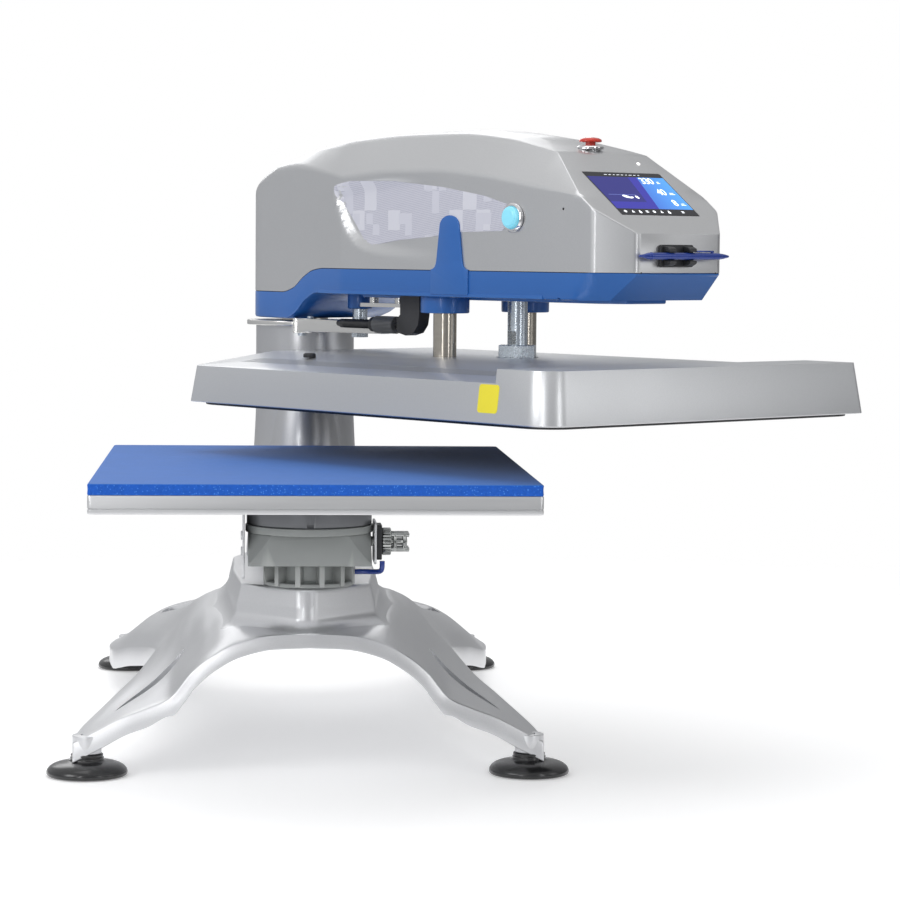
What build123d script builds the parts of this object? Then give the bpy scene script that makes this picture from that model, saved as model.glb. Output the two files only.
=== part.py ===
from build123d import *
import os
from math import sin, cos, radians, degrees, atan2, hypot

os.makedirs("parts", exist_ok=True)

# ---------------------------------------------------------------------------
# Driving dimensions (millimetres)
# ---------------------------------------------------------------------------
OX, OY = -141.795, -267.032         # machine frame to part frame (bounding-box centre)
PAD_W, PAD_L = 406.4, 508.0        # 16 x 20 inch platen
PAD_TOP, PAD_T, PLATEN_T = 309.64, 10.2, 17.1
SWING_Y = 350.04                   # column axis, behind the platen centre
SWING_DEG = 37.49                  # head swung this far at rest
REACH = 346.15                     # column axis to heat platen centre
COVER_L, COVER_W = 537.8, 430.2    # heat platen cover at its bottom edge
COVER_Z, DECK_Z, SHELF_Z = 361.34, 411.3, 398.0
HEAT_Z = 358.84                    # working face of the heat platen
COL_R = 53.3
TOWER_Z = 183.0
FOOT_R = 39.9
FRONT_FEET = (218.3, 17.3)
REAR_FEET = (205.7, 752.2)
POST_U, POST_V, POST_R = 294.0, 54.9, 11.75
ROD_U, ROD_R = 342.0, 10.0
PED_Y = 72.0                       # pedestal axis
KNOB_Z = 226.0

TH = radians(SWING_DEG)
EU = (sin(TH), -cos(TH), 0)        # head frame: u runs forward from the column axis
EV = (cos(TH), sin(TH), 0)         # v runs to the far side
NU = (-EU[0], -EU[1], 0)
NV = (-EV[0], -EV[1], 0)


def floor_plane(z, x=0.0, y=0.0):
    return Plane(origin=(x + OX, y + OY, z), x_dir=(1, 0, 0), z_dir=(0, 0, 1))


def front_plane(y, x=0.0, z=0.0):
    return Plane(origin=(x + OX, y + OY, z), x_dir=(1, 0, 0), z_dir=(0, -1, 0))


def side_plane(x, y=0.0, z=0.0):
    return Plane(origin=(x + OX, y + OY, z), x_dir=(0, 1, 0), z_dir=(1, 0, 0))


def hp(u, v, z):
    return (OX + u * EU[0] + v * EV[0], OY + SWING_Y + u * EU[1] + v * EV[1], z)


def head_plane(z, u=0.0, v=0.0):
    return Plane(origin=hp(u, v, z), x_dir=EU, z_dir=(0, 0, 1))


def head_side(v, u=0.0, z=0.0):
    return Plane(origin=hp(u, v, z), x_dir=EU, z_dir=NV)


def head_far(v, u=0.0, z=0.0):
    return Plane(origin=hp(u, v, z), x_dir=NU, z_dir=EV)


def head_front(u, v=0.0, z=0.0):
    return Plane(origin=hp(u, v, z), x_dir=EV, z_dir=EU)


def save(piece, name):
    piece.part.label = name
    export_step(piece.part, "parts/" + name + ".step")


# ---------------------------------------------------------------------------
# Base casting: an arched four-legged spider with a faceted tower in front
# ---------------------------------------------------------------------------
# each section: depth, then (half width, top height) from the middle outwards
SECTIONS = [
    (2.0, 14, [(0, 141), (36, 139.5), (70, 132), (95, 119.5), (115, 104), (138, 77), (160, 67), (184, 58), (210, 44.5), (232, 33)]),
    (35.0, 14, [(0, 144), (38, 143), (75, 137), (100, 121), (118, 104), (140, 80), (162, 70), (186, 60), (210, 48), (231, 36)]),
    (100.0, 14, [(0, 147.9), (40, 147.2), (78, 145), (100, 131), (120, 110), (140, 90), (158, 78), (174, 70), (190, 64), (206, 56)]),
    (160.0, 14, [(0, 149.8), (40, 149), (80, 147.5), (103, 137), (122, 118), (138, 101), (152, 90), (165, 81), (178, 73), (190, 65)]),
    (240.0, 14, [(0, 151), (40, 150.3), (84, 149), (104, 142), (120, 131), (133, 118), (145, 104), (156, 93.6), (165, 84), (174, 71)]),
    (330.0, 14, [(0, 151), (40, 150.2), (86, 148), (102, 143), (115, 136), (126, 126), (137, 113), (146, 102), (154, 92), (161, 76)]),
    (400.0, 14, [(0, 144), (40, 143.2), (87, 140), (103, 135), (118, 128), (132, 118), (144, 106), (153, 96), (161, 86), (168, 72)]),
    (500.0, 14, [(0, 126), (40, 125), (89, 122), (107, 119), (125, 114), (145, 107), (163, 96), (176, 86), (187, 75), (196, 59)]),
    (600.0, 14, [(0, 112), (40, 111), (80, 108), (105, 105), (130, 101), (155, 94), (175, 84), (192, 71), (208, 57), (221, 42)]),
    (700.0, 14, [(0, 106), (36, 104), (70, 98), (100, 90), (128, 80), (155, 70), (178, 62), (198, 53), (215, 45), (229, 36)]),
    (767.0, 14, [(0, 104), (35, 102), (70, 94), (98, 79), (122, 64), (148, 55), (170, 49), (190, 44), (208, 38.5), (225, 33)]),
]
def casting_section(y, t, pts):
    """Closed arch-shaped section of the casting at one depth, as (x, z) points."""
    half = list(pts)
    low = []
    for i, (x, z) in enumerate(half):
        j, k = max(i - 1, 0), min(i + 1, len(half) - 1)
        slope = (half[k][1] - half[j][1]) / (half[k][0] - half[j][0])
        low.append((x, z - t * min(1.55, (1 + slope * slope) ** 0.5)))
    top = [(-x, z) for x, z in reversed(half)] + half[1:]
    bottom = [(x, z) for x, z in reversed(low)] + [(-x, z) for x, z in low[1:]]
    return top + bottom


with BuildPart() as base_casting:
    for near, far in zip(SECTIONS[:-1], SECTIONS[1:]):
        for y, t, pts in (near, far):
            with BuildSketch(front_plane(y)):
                Polygon(*casting_section(y, t, pts), align=None)
        loft(ruled=True)
    # faceted tower: a prow towards the user, flat on top
    with BuildSketch(floor_plane(128)):
        Polygon((-3, 2), (76, 74), (86, 205), (84, 330), (70, 412), (-76, 412), (-90, 330), (-92, 205), (-82, 74), align=None)
    with BuildSketch(floor_plane(TOWER_Z)):
        Polygon((-3, 20), (62, 80), (71, 205), (71, 330), (52, 400), (-58, 400), (-77, 330), (-77, 205), (-68, 80), align=None)
    loft(ruled=True)
    # bosses over the levelling feet
    with BuildSketch(floor_plane(17.5)):
        with Locations(*[(sx * x, y) for x, y in (FRONT_FEET, REAR_FEET) for sx in (-1, 1)]):
            Circle(14.3)
    extrude(amount=24)
    # threaded bores for the feet
    with BuildSketch(floor_plane(10)):
        with Locations(*[(sx * x, y) for x, y in (FRONT_FEET, REAR_FEET) for sx in (-1, 1)]):
            Circle(6.1)
    extrude(amount=27, mode=Mode.SUBTRACT)
    # T slot for the draw slide, closed at both ends
    with BuildSketch(floor_plane(176.8)):
        with Locations((0, 181)):
            Rectangle(30.4, 182)
    extrude(amount=10, mode=Mode.SUBTRACT)
    with BuildSketch(floor_plane(165)):
        with Locations((0, 181)):
            Rectangle(52.4, 182)
    extrude(amount=12.2, mode=Mode.SUBTRACT)
    # the rear edge curves in between the rear legs
    with BuildSketch(floor_plane(0)):
        with Locations((0, 800)):
            Ellipse(158, 250)
    extrude(amount=200, mode=Mode.SUBTRACT)
    # column socket
    with BuildSketch(floor_plane(150)):
        with Locations((0, SWING_Y)):
            Circle(41)
    extrude(amount=40, mode=Mode.SUBTRACT)
    # lightening pockets in the legs
    for sx in (-1, 1):
        with BuildSketch(floor_plane(60)):
            with Locations(Location((sx * 139, 458), sx * 76)):
                SlotOverall(150, 12)
        extrude(amount=90, mode=Mode.SUBTRACT)
        with BuildSketch(floor_plane(30)):
            with Locations(Location((sx * 158, 92), sx * -52)):
                SlotOverall(110, 13)
        extrude(amount=90, mode=Mode.SUBTRACT)

# levelling feet: dished disc, neck and threaded stud in one
FOOT_PROFILE = [(0, 0), (36, 0), (FOOT_R, 2.2), (FOOT_R, 5.5), (37.5, 9.5), (31, 13.2), (18, 15.6), (15.6, 16.4), (15.6, 17.2), (6, 17.2), (6, 34), (5, 35.5), (0, 35.5)]
with BuildPart() as foot_front_left:
    with BuildSketch(front_plane(FRONT_FEET[1], -FRONT_FEET[0])):
        Polygon(*FOOT_PROFILE, align=None)
    revolve(axis=Axis((OX - FRONT_FEET[0], OY + FRONT_FEET[1], 0), (0, 0, 1)))
with BuildPart() as foot_front_right:
    with BuildSketch(front_plane(FRONT_FEET[1], FRONT_FEET[0])):
        Polygon(*FOOT_PROFILE, align=None)
    revolve(axis=Axis((OX + FRONT_FEET[0], OY + FRONT_FEET[1], 0), (0, 0, 1)))
with BuildPart() as foot_rear_left:
    with BuildSketch(front_plane(REAR_FEET[1], -REAR_FEET[0])):
        Polygon(*FOOT_PROFILE, align=None)
    revolve(axis=Axis((OX - REAR_FEET[0], OY + REAR_FEET[1], 0), (0, 0, 1)))
with BuildPart() as foot_rear_right:
    with BuildSketch(front_plane(REAR_FEET[1], REAR_FEET[0])):
        Polygon(*FOOT_PROFILE, align=None)
    revolve(axis=Axis((OX + REAR_FEET[0], OY + REAR_FEET[1], 0), (0, 0, 1)))

# ---------------------------------------------------------------------------
# Column, its bearings, the swing disc
# ---------------------------------------------------------------------------
with BuildPart() as column:
    with BuildSketch(front_plane(SWING_Y)):
        Polygon((40, 150.2), (40.8, 150.2), (40.8, 183.3), (63, 183.3), (63, 190), (57.5, 290), (COL_R, 345), (COL_R, 435.6), (40, 435.6), align=None)
    revolve(axis=Axis((OX, OY + SWING_Y, 0), (0, 0, 1)))

with BuildPart() as column_bearings:
    for z in (206, 402):
        with BuildSketch(floor_plane(z, 0, SWING_Y)):
            Circle(39.9)
            Circle(25.06, mode=Mode.SUBTRACT)
        extrude(amount=18)

with BuildPart() as swing_disc:
    with BuildSketch(floor_plane(435.8, 0, SWING_Y)):
        Circle(63.2)
        Circle(27.5, mode=Mode.SUBTRACT)
        with PolarLocations(46, 6, start_angle=30):
            Circle(3.3, mode=Mode.SUBTRACT)
    extrude(amount=5.2)
    chamfer(edges().filter_by(GeomType.CIRCLE).group_by(SortBy.RADIUS)[-1], length=0.8)

# ---------------------------------------------------------------------------
# Draw carriage: key, ribbed hub, bell block, rings, lower platen and pad
# ---------------------------------------------------------------------------
with BuildPart() as pedestal_hub:
    with BuildSketch(floor_plane(176.9)):
        with Locations((0, 241)):
            Rectangle(30, 60)
    extrude(amount=6.4)
    with BuildSketch(floor_plane(165.2)):
        with Locations((0, 241)):
            Rectangle(52, 60)
    extrude(amount=11.7)
    with BuildSketch(floor_plane(183.2)):
        with Locations((0, 174)):
            RectangleRounded(58, 204, 4)
    extrude(amount=6.2)
    with BuildSketch(floor_plane(183.2, 0, PED_Y)):
        Circle(36)
        with PolarLocations(38, 8, start_angle=0):
            Rectangle(14, 8)
    extrude(amount=22.6)
    with BuildSketch(floor_plane(183.2, 0, PED_Y)):
        Circle(45.5)
    extrude(amount=4)

with BuildPart() as pedestal_block:
    with BuildSketch(front_plane(PED_Y)):
        Polygon((0, 205.8), (80, 205.8), (73, 216), (67, 226), (62.4, 236.2), (0, 236.2), align=None)
    revolve(axis=Axis((OX, OY + PED_Y, 0), (0, 0, 1)))
    with BuildSketch(floor_plane(200, 0, PED_Y)):
        Rectangle(122.4, 100)
    extrude(amount=60, mode=Mode.INTERSECT)

with BuildPart() as index_ring:
    with BuildSketch(floor_plane(236.2, 0, PED_Y)):
        Circle(63.9)
    extrude(amount=7.6)

with BuildPart() as swivel_ring:
    with BuildSketch(floor_plane(244.6, 0, PED_Y)):
        Circle(62.6)
    extrude(amount=37.6)
    with BuildSketch(floor_plane(244.0, 0, PED_Y)):
        Circle(30)
    extrude(amount=0.6)
    with BuildSketch(floor_plane(244.6, 0, PED_Y - 62)):
        Rectangle(6.5, 8)
    extrude(amount=3.2, mode=Mode.SUBTRACT)

with BuildPart() as pedestal_side_plates:
    with BuildSketch(side_plane(-66.8, PED_Y, 0)):
        with Locations((0, 224)):
            RectangleRounded(64, 66, 5)
        with Locations((-20, 234)):
            Circle(3, mode=Mode.SUBTRACT)
    extrude(amount=2.4)
    with BuildSketch(side_plane(64.4, PED_Y, 0)):
        with Locations((0, 226)):
            RectangleRounded(50, 42, 5)
        with Locations((0, KNOB_Z)):
            Circle(5.2, mode=Mode.SUBTRACT)
    extrude(amount=2.4)
    for x, d in ((-64.4, 3.2), (61.2, 3.2)):
        with BuildSketch(side_plane(x, PED_Y, 0)):
            with Locations((18, 214), (18, 230)):
                Circle(4.5)
        extrude(amount=d)

with BuildPart() as knob_bracket:
    with BuildSketch(side_plane(66.9, PED_Y, 0)):
        with Locations((0, KNOB_Z)):
            RectangleRounded(30, 35, 3)
            Circle(5.2, mode=Mode.SUBTRACT)
    extrude(amount=5.6)

with BuildPart() as lock_knob:
    with BuildSketch(side_plane(73.0, PED_Y, KNOB_Z)):
        Circle(13.2)
        with PolarLocations(13.2, 24):
            Circle(0.7)
    extrude(amount=9)
    with BuildSketch(side_plane(61.4, PED_Y, KNOB_Z)):
        Circle(5.1)
    extrude(amount=11.6)
    with BuildSketch(side_plane(82, PED_Y, KNOB_Z)):
        Circle(5)
    extrude(amount=16)
    for z in (84.5, 94):
        with BuildSketch(side_plane(z, PED_Y, KNOB_Z)):
            Circle(6.5)
            with PolarLocations(6.2, 4, start_angle=45):
                Rectangle(12, 6)
        extrude(amount=3)
    with BuildSketch(side_plane(82, PED_Y, KNOB_Z)):
        with PolarLocations(10.6, 4, start_angle=45):
            Circle(2.4)
    extrude(amount=18.5)

# short air tube from the lock into the tower side, straight runs and tangent arcs
TUBE = [(72.8, 58, 207), (72.8, 58, 200.4), (69.5, 63.5, 196.0), (60.0, 71, 195.4), (45.6, 72.6, 195.2)]
with BuildPart() as air_tube:
    with BuildLine():
        FilletPolyline(*[(x + OX, y + OY, z) for x, y, z in TUBE], radius=3.2)
    with BuildSketch(Plane(origin=(TUBE[0][0] + OX, TUBE[0][1] + OY, TUBE[0][2]), z_dir=(0, 0, -1))):
        Circle(2.6)
    sweep()

with BuildPart() as lower_platen:
    with BuildSketch(floor_plane(PAD_TOP - PAD_T - PLATEN_T)):
        RectangleRounded(PAD_W, PAD_L, 3)
    extrude(amount=PLATEN_T)
    with BuildSketch(floor_plane(PAD_TOP - PAD_T - PLATEN_T + 4.4)):
        RectangleRounded(PAD_W, PAD_L, 3)
        RectangleRounded(PAD_W - 1.6, PAD_L - 1.6, 2.4, mode=Mode.SUBTRACT)
    extrude(amount=0.8, mode=Mode.SUBTRACT)

with BuildPart() as silicone_pad:
    with BuildSketch(floor_plane(PAD_TOP - PAD_T)):
        RectangleRounded(PAD_W, PAD_L, 2.5)
    extrude(amount=PAD_T)

# ---------------------------------------------------------------------------
# Head: plan outline and side profile shared by the tray and the shell
# ---------------------------------------------------------------------------
SPLIT = [(-62, 472.6), (38, 472.6), (62, 477.0), (86, 489.5), (107, 496.6), (130, 498.6), (575, 498.6)]
TRAY_BOTTOM = [(-62, 444.0), (44, 444.0), (64, 449.5), (88, 464.5), (112, 472.0), (537, 472.0), (566, 498.3)]


def nose_wedge(side, back, top):
    """Undercut along one front corner of the tray, leaning in towards the bottom."""
    out = (0.673 * EU[0] + side * 0.740 * EV[0], 0.673 * EU[1] + side * 0.740 * EV[1], 0)
    run = (side * 0.740 * EU[0] - 0.673 * EV[0], side * 0.740 * EU[1] - 0.673 * EV[1], 0)
    with BuildPart() as wedge:
        with BuildSketch(Plane(origin=hp(535, side * 84.2, 0), x_dir=out, z_dir=run)):
            Polygon((-back, top), (-back, 498.3), (-back - 19.0, 465), (30, 465), (30, top), align=None)
        extrude(amount=70, both=True)
    return wedge.part


def outline(inset=0.0, reach=0.0):
    """Closed plan outline of the head in (u, v)."""
    with BuildSketch(Plane.XY) as face:
        with BuildLine():
            a = ThreePointArc((-9.6, 53.6), (-54.5, 0), (-9.6, -53.6))
            Line((-9.6, 53.6), (165, 85))
            ThreePointArc((165, 85), (350, 88), (535, 84.2))
            Line((535, 84.2), (566 + reach, 56))
            Line((566 + reach, 56), (566 + reach, -56))
            Line((566 + reach, -56), (535, -84.2))
            ThreePointArc((535, -84.2), (350, -88), (165, -85))
            Line((165, -85), (-9.6, -53.6))
        make_face()
        if inset:
            offset(amount=-inset, kind=Kind.INTERSECTION, mode=Mode.REPLACE)
    return face.sketch


OUT = outline()
IN = outline(3.2)

with BuildPart() as head_tray:
    with BuildSketch(head_plane(440)):
        add(OUT)
    extrude(amount=62)
    with BuildSketch(head_side(-95)):
        with BuildLine():
            Polyline(*TRAY_BOTTOM, *reversed([(u, z - 0.3) for u, z in SPLIT[:-1]]), close=True)
        make_face()
    extrude(amount=-190, mode=Mode.INTERSECT)
    for side in (-1, 1):
        add(nose_wedge(side, 0.0, 498.3), mode=Mode.SUBTRACT)
with BuildPart() as tray_hollow:
    with BuildSketch(head_plane(440)):
        add(IN)
    extrude(amount=62)
    with BuildSketch(head_side(-95)):
        with BuildLine():
            Polyline((-62, 448.0), (42, 448.0), (60, 453.0), (84, 468.0), (110, 476.0), (535, 476.0), (561, 499.6), (561, 505), (-62, 505), close=True)
        make_face()
    extrude(amount=-190, mode=Mode.INTERSECT)
    for side in (-1, 1):
        add(nose_wedge(side, 3.8, 506), mode=Mode.SUBTRACT)
with BuildPart() as tray_body:
    add(head_tray.part)
    add(tray_hollow.part, mode=Mode.SUBTRACT)
    # bosses round the guide posts and over the stop pivot
    with BuildSketch(head_plane(455, POST_U, 0)):
        with Locations((0, -POST_V), (0, POST_V)):
            Circle(24.5)
    extrude(amount=19)
    with BuildSketch(head_plane(455.5, 118, -20)):
        Circle(13)
    extrude(amount=18)
    # shallow raised floor panel under the middle
    with BuildSketch(head_plane(468.4)):
        Polygon((150, -43), (500, -43), (524, -26), (524, 26), (500, 43), (150, 43), align=None)
    extrude(amount=4)
    # openings: spindle, rod, guide bushings, pivot screw
    with BuildSketch(head_plane(440)):
        Circle(27.5)
        with Locations((ROD_U, 0)):
            Circle(14)
        with Locations((POST_U, -POST_V), (POST_U, POST_V)):
            Circle(19.2)
        with Locations((118, -20)):
            Circle(4.2)
    extrude(amount=45, mode=Mode.SUBTRACT)

# blue fins that rise over the shell, one on each side
with BuildPart() as tray_fins:
    for plane in (head_side(-88.2), head_far(88.2)):
        s = 1 if plane.x_dir.X > 0 else -1
        with BuildSketch(plane):
            with BuildLine():
                Polyline((s * 311, 499.6), (s * 317.2, 502.2), (s * 319.4, 507), (s * 324, 541))
                ThreePointArc((s * 324, 541), (s * 338.5, 552.5), (s * 353, 541))
                Polyline((s * 353, 541), (s * 357.6, 507), (s * 359.8, 502.2), (s * 366, 499.6))
                Line((s * 366, 499.6), (s * 366, 474))
                Line((s * 366, 474), (s * 311, 474))
                Line((s * 311, 474), (s * 311, 499.6))
            make_face()
        extrude(amount=1.8)

# shell cross-sections: u, character-line height, top-edge height, crown height
CROWN = [
    (-60, 530, 561, 563), (-30, 545, 583, 586), (0, 556, 598, 601), (50, 568, 614, 617.5), (100, 577, 625, 628.5),
    (165, 586.5, 631.5, 635.5), (243, 595, 634.5, 638.3), (310, 596.3, 634, 638.6), (381, 590.5, 628, 631.5),
    (429, 583, 619.6, 620.6), (461.6, 577, 612.6, 613.4), (575, 553, 590, 591),
]


def shell_loft(inset):
    with BuildPart() as block:
        for u, zc, zt, zr in CROWN:
            with BuildSketch(head_front(u)):
                w = 88.6 - inset
                Polygon((-w, 465), (w, 465), (w, zc - inset * 0.3), (60 - inset * 0.6, zt - inset), (22, zr - inset),
                        (-22, zr - inset), (-60 + inset * 0.6, zt - inset), (-w, zc - inset * 0.3), align=None)
        loft(ruled=True)
    return block.part


SHELL_OUT = shell_loft(0.0)
SHELL_IN = shell_loft(3.0)
PANEL_A, PANEL_B = (461.6, 612.4), (566.0, 535.3)
PANEL_DEG = degrees(atan2(PANEL_A[1] - PANEL_B[1], PANEL_B[0] - PANEL_A[0]))
PANEL_Z = (sin(radians(PANEL_DEG)) * EU[0], sin(radians(PANEL_DEG)) * EU[1], cos(radians(PANEL_DEG)))
PANEL_X = (-EV[0], -EV[1], 0)      # panel frame: x towards the viewer's left, y up the slope


def panel_plane(rise=0.0):
    u, z = PANEL_A
    k = radians(PANEL_DEG)
    return Plane(origin=hp(u + rise * sin(k), 0, z + rise * cos(k)), x_dir=EV, z_dir=PANEL_Z)


with BuildPart() as head_shell:
    add(SHELL_OUT)
    with BuildSketch(head_plane(465)):
        add(OUT)
    extrude(amount=190, mode=Mode.INTERSECT)
    with BuildSketch(head_side(-95)):
        with BuildLine():
            Polyline(*SPLIT, (575, PANEL_B[1] - 6.65), PANEL_A, (440, 645), (-62, 645), close=True)
        make_face()
    extrude(amount=-190, mode=Mode.INTERSECT)
with BuildPart() as shell_hollow:
    add(SHELL_IN)
    with BuildSketch(head_plane(460)):
        add(IN)
    extrude(amount=190, mode=Mode.INTERSECT)
    with BuildSketch(head_side(-95)):
        with BuildLine():
            Polyline((-62, 462), (562.6, 462), (562.6, PANEL_B[1] - 1.4), (460.2, 609.2), (440, 645), (-62, 645), close=True)
        make_face()
    extrude(amount=-190, mode=Mode.INTERSECT)
with BuildPart() as shell_body:
    add(head_shell.part)
    add(shell_hollow.part, mode=Mode.SUBTRACT)
    # screen opening with a shallow rebate
    with BuildSketch(panel_plane(1)):
        with Locations((0, -65.5)):
            RectangleRounded(106, 70, 2)
    extrude(amount=-2.6, mode=Mode.SUBTRACT)
    with BuildSketch(panel_plane(1)):
        with Locations((0, -65.5)):
            Rectangle(98, 62)
    extrude(amount=-9, mode=Mode.SUBTRACT)
    # status light
    with BuildSketch(panel_plane(1)):
        with Locations((36.9, -14.6)):
            Circle(1.9)
    extrude(amount=-9, mode=Mode.SUBTRACT)
    # start buttons, emergency stop, rear inlets
    for plane in (head_side(-95), head_far(95)):
        s = 1 if plane.x_dir.X > 0 else -1
        with BuildSketch(plane):
            with Locations((s * 429.3, 550)):
                Circle(12.1)
        extrude(amount=-20, mode=Mode.SUBTRACT)
    with BuildSketch(head_plane(618.3, 444, 0)):
        Circle(13.6)
    extrude(amount=12, mode=Mode.SUBTRACT)
    with BuildSketch(head_plane(600, 444, 0)):
        Circle(8.2)
    extrude(amount=40, mode=Mode.SUBTRACT)
    with BuildSketch(head_front(-70)):
        with Locations((0, 524)):
            Rectangle(27.6, 42.6)
        with Locations((0, 487)):
            Circle(8.1)
    extrude(amount=24, mode=Mode.SUBTRACT)

with BuildPart() as touch_screen:
    with BuildSketch(panel_plane(-1.5)):
        with Locations((0, -65.5)):
            RectangleRounded(105.6, 69.6, 1.8)
    extrude(amount=1.9)

with BuildPart() as display_board:
    with BuildSketch(panel_plane(-12)):
        with Locations((0, -63)):
            Rectangle(116, 76)
    extrude(amount=1.6)
    with BuildSketch(panel_plane(-10.4)):
        with Locations((0, -65.5)):
            Rectangle(97, 61)
    extrude(amount=8.8)
    with BuildSketch(panel_plane(-10.4)):
        with Locations((36.9, -14.6 + 8)):
            Rectangle(8, 4)
    extrude(amount=2)

with BuildPart() as status_light:
    with BuildSketch(panel_plane(-3.5)):
        with Locations((36.9, -14.6)):
            Circle(1.8)
    extrude(amount=4.3)

with BuildPart() as start_button_rings:
    for plane in (head_side(0, 429.3, 550), head_far(0, 429.3, 550)):
        with BuildSketch(plane.offset(87.6)):
            Circle(14.2)
            Circle(10.9, mode=Mode.SUBTRACT)
        extrude(amount=3.2)
        with BuildSketch(plane.offset(78)):
            Circle(11.95)
            Circle(10.9, mode=Mode.SUBTRACT)
        extrude(amount=9.6)

with BuildPart() as start_button_near:
    with BuildSketch(head_side(0, 429.3, 550).offset(80)):
        Circle(10.7)
    extrude(amount=15.5)
    fillet(faces().sort_by(Axis((0, 0, 0), NV))[-1].edges(), radius=2.5)

with BuildPart() as start_button_far:
    with BuildSketch(head_far(0, 429.3, 550).offset(80)):
        Circle(10.7)
    extrude(amount=15.5)
    fillet(faces().sort_by(Axis((0, 0, 0), EV))[-1].edges(), radius=2.5)

with BuildPart() as stop_collar:
    with BuildSketch(head_side(0, 444, 0)):
        Polygon((5.4, 600), (8, 600), (8, 618.5), (13.2, 618.5), (13.2, 619.8), (11.6, 621), (5.4, 621), align=None)
    revolve(axis=Axis(hp(444, 0, 0), (0, 0, 1)))

with BuildPart() as emergency_stop:
    with BuildSketch(head_side(0, 444, 0)):
        Polygon((0, 596), (5.2, 596), (5.2, 624.4), (10.6, 624.4), (11.2, 625.4), (10.4, 627.4), (7, 628.7), (0, 629.2), align=None)
    revolve(axis=Axis(hp(444, 0, 0), (0, 0, 1)))

with BuildPart() as stylus_holder:
    with BuildSketch(head_front(566.0)):
        with Locations((-6.2, 514.7)):
            RectangleRounded(44, 21, 2)
    extrude(amount=9.4)
    with BuildSketch(head_side(-34)):
        with Locations((575.4, 514.5)):
            Circle(3.75)
            Rectangle(7.5, 7.5, align=(Align.MIN, Align.CENTER))
    extrude(amount=-60, mode=Mode.SUBTRACT)

with BuildPart() as stylus:
    with BuildSketch(Plane(origin=hp(575.4, -63, 514.5), x_dir=EU, z_dir=EV)):
        Circle(0.9)
    with BuildSketch(Plane(origin=hp(575.4, -50, 514.5), x_dir=EU, z_dir=EV)):
        Circle(3.4)
    loft()
    with BuildSketch(Plane(origin=hp(575.4, -50, 514.5), x_dir=EU, z_dir=EV)):
        Circle(3.4)
    extrude(amount=96)
    with BuildSketch(Plane(origin=hp(575.4, 46, 514.5), x_dir=EU, z_dir=EV)):
        Circle(3.4)
    with BuildSketch(Plane(origin=hp(575.4, 58, 514.5), x_dir=EU, z_dir=EV)):
        Circle(1.4)
    loft()

# ---------------------------------------------------------------------------
# Inside the head
# ---------------------------------------------------------------------------
with BuildPart() as head_spindle:
    with BuildSketch(front_plane(SWING_Y)):
        Polygon((0, 200), (25, 200), (25, 448.4), (40, 448.4), (40, 451.8), (0, 451.8), align=None)
    revolve(axis=Axis((OX, OY + SWING_Y, 0), (0, 0, 1)))

with BuildPart() as head_beam:
    with BuildSketch(head_side(-42)):
        Polygon((-24, 452), (40, 452), (112, 480.5), (405, 480.5), (405, 492), (108, 492), (36, 464), (-24, 464), align=None)
    extrude(amount=-84)
    with BuildSketch(head_plane(480.5)):
        with Locations((POST_U, 0)):
            Rectangle(60, 156)
    extrude(amount=11.5)
    for v in (-42, 36):
        with BuildSketch(head_side(v)):
            Polygon((-20, 463), (36, 463), (108, 491), (272, 491), (240, 536), (60, 526), (-20, 484), align=None)
        extrude(amount=-6)
    with BuildSketch(head_plane(470)):
        with Locations((POST_U, -POST_V), (POST_U, POST_V)):
            Circle(19.0)
        with Locations((ROD_U, 0)):
            Circle(14)
        with Locations((118, -20)):
            Circle(4.2)
    extrude(amount=30, mode=Mode.SUBTRACT)

with BuildPart() as guide_bushings:
    for v in (-POST_V, POST_V):
        with BuildSketch(head_side(v, POST_U, 0)):
            Polygon((POST_R + 0.05, 456), (18.9, 456), (18.9, 491.9), (15.4, 491.9), (15.4, 516), (POST_R + 0.05, 516), align=None)
        revolve(axis=Axis(hp(POST_U, v, 0), (0, 0, 1)))

with BuildPart() as air_cylinder:
    with BuildSketch(head_side(0, ROD_U, 0)):
        Polygon((ROD_R + 0.06, 492.1), (54.8, 492.1), (54.8, 600), (0, 600), (0, 590), (47, 590), (47, 504), (ROD_R + 0.06, 504), align=None)
    revolve(axis=Axis(hp(ROD_U, 0, 0), (0, 0, 1)))

with BuildPart() as power_supply:
    with BuildSketch(head_plane(492.2, 176, 0)):
        Rectangle(108, 62)
    extrude(amount=40)
    with BuildSketch(head_plane(532.2, 176, 0)):
        with GridLocations(12, 1, 8, 1):
            Rectangle(3, 62)
    extrude(amount=14)

with BuildPart() as solenoid_valve:
    with BuildSketch(head_plane(476.2, 440, 0)):
        Rectangle(46, 30)
    extrude(amount=24)
    with BuildSketch(head_plane(500.2, 440, 0)):
        with Locations((-9, 0), (9, 0)):
            Circle(8)
    extrude(amount=26)

with BuildPart() as control_board:
    with BuildSketch(head_plane(500, 498, 0)):
        Rectangle(70, 96)
    extrude(amount=1.6)
    with BuildSketch(head_plane(476.1, 498, 0)):
        with GridLocations(60, 86, 2, 2):
            Circle(3)
    extrude(amount=23.9)
    with BuildSketch(head_plane(501.6, 498, 0)):
        with Locations((-14, 20), (10, -22), (14, 24)):
            Rectangle(18, 18)
    extrude(amount=7)

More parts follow.
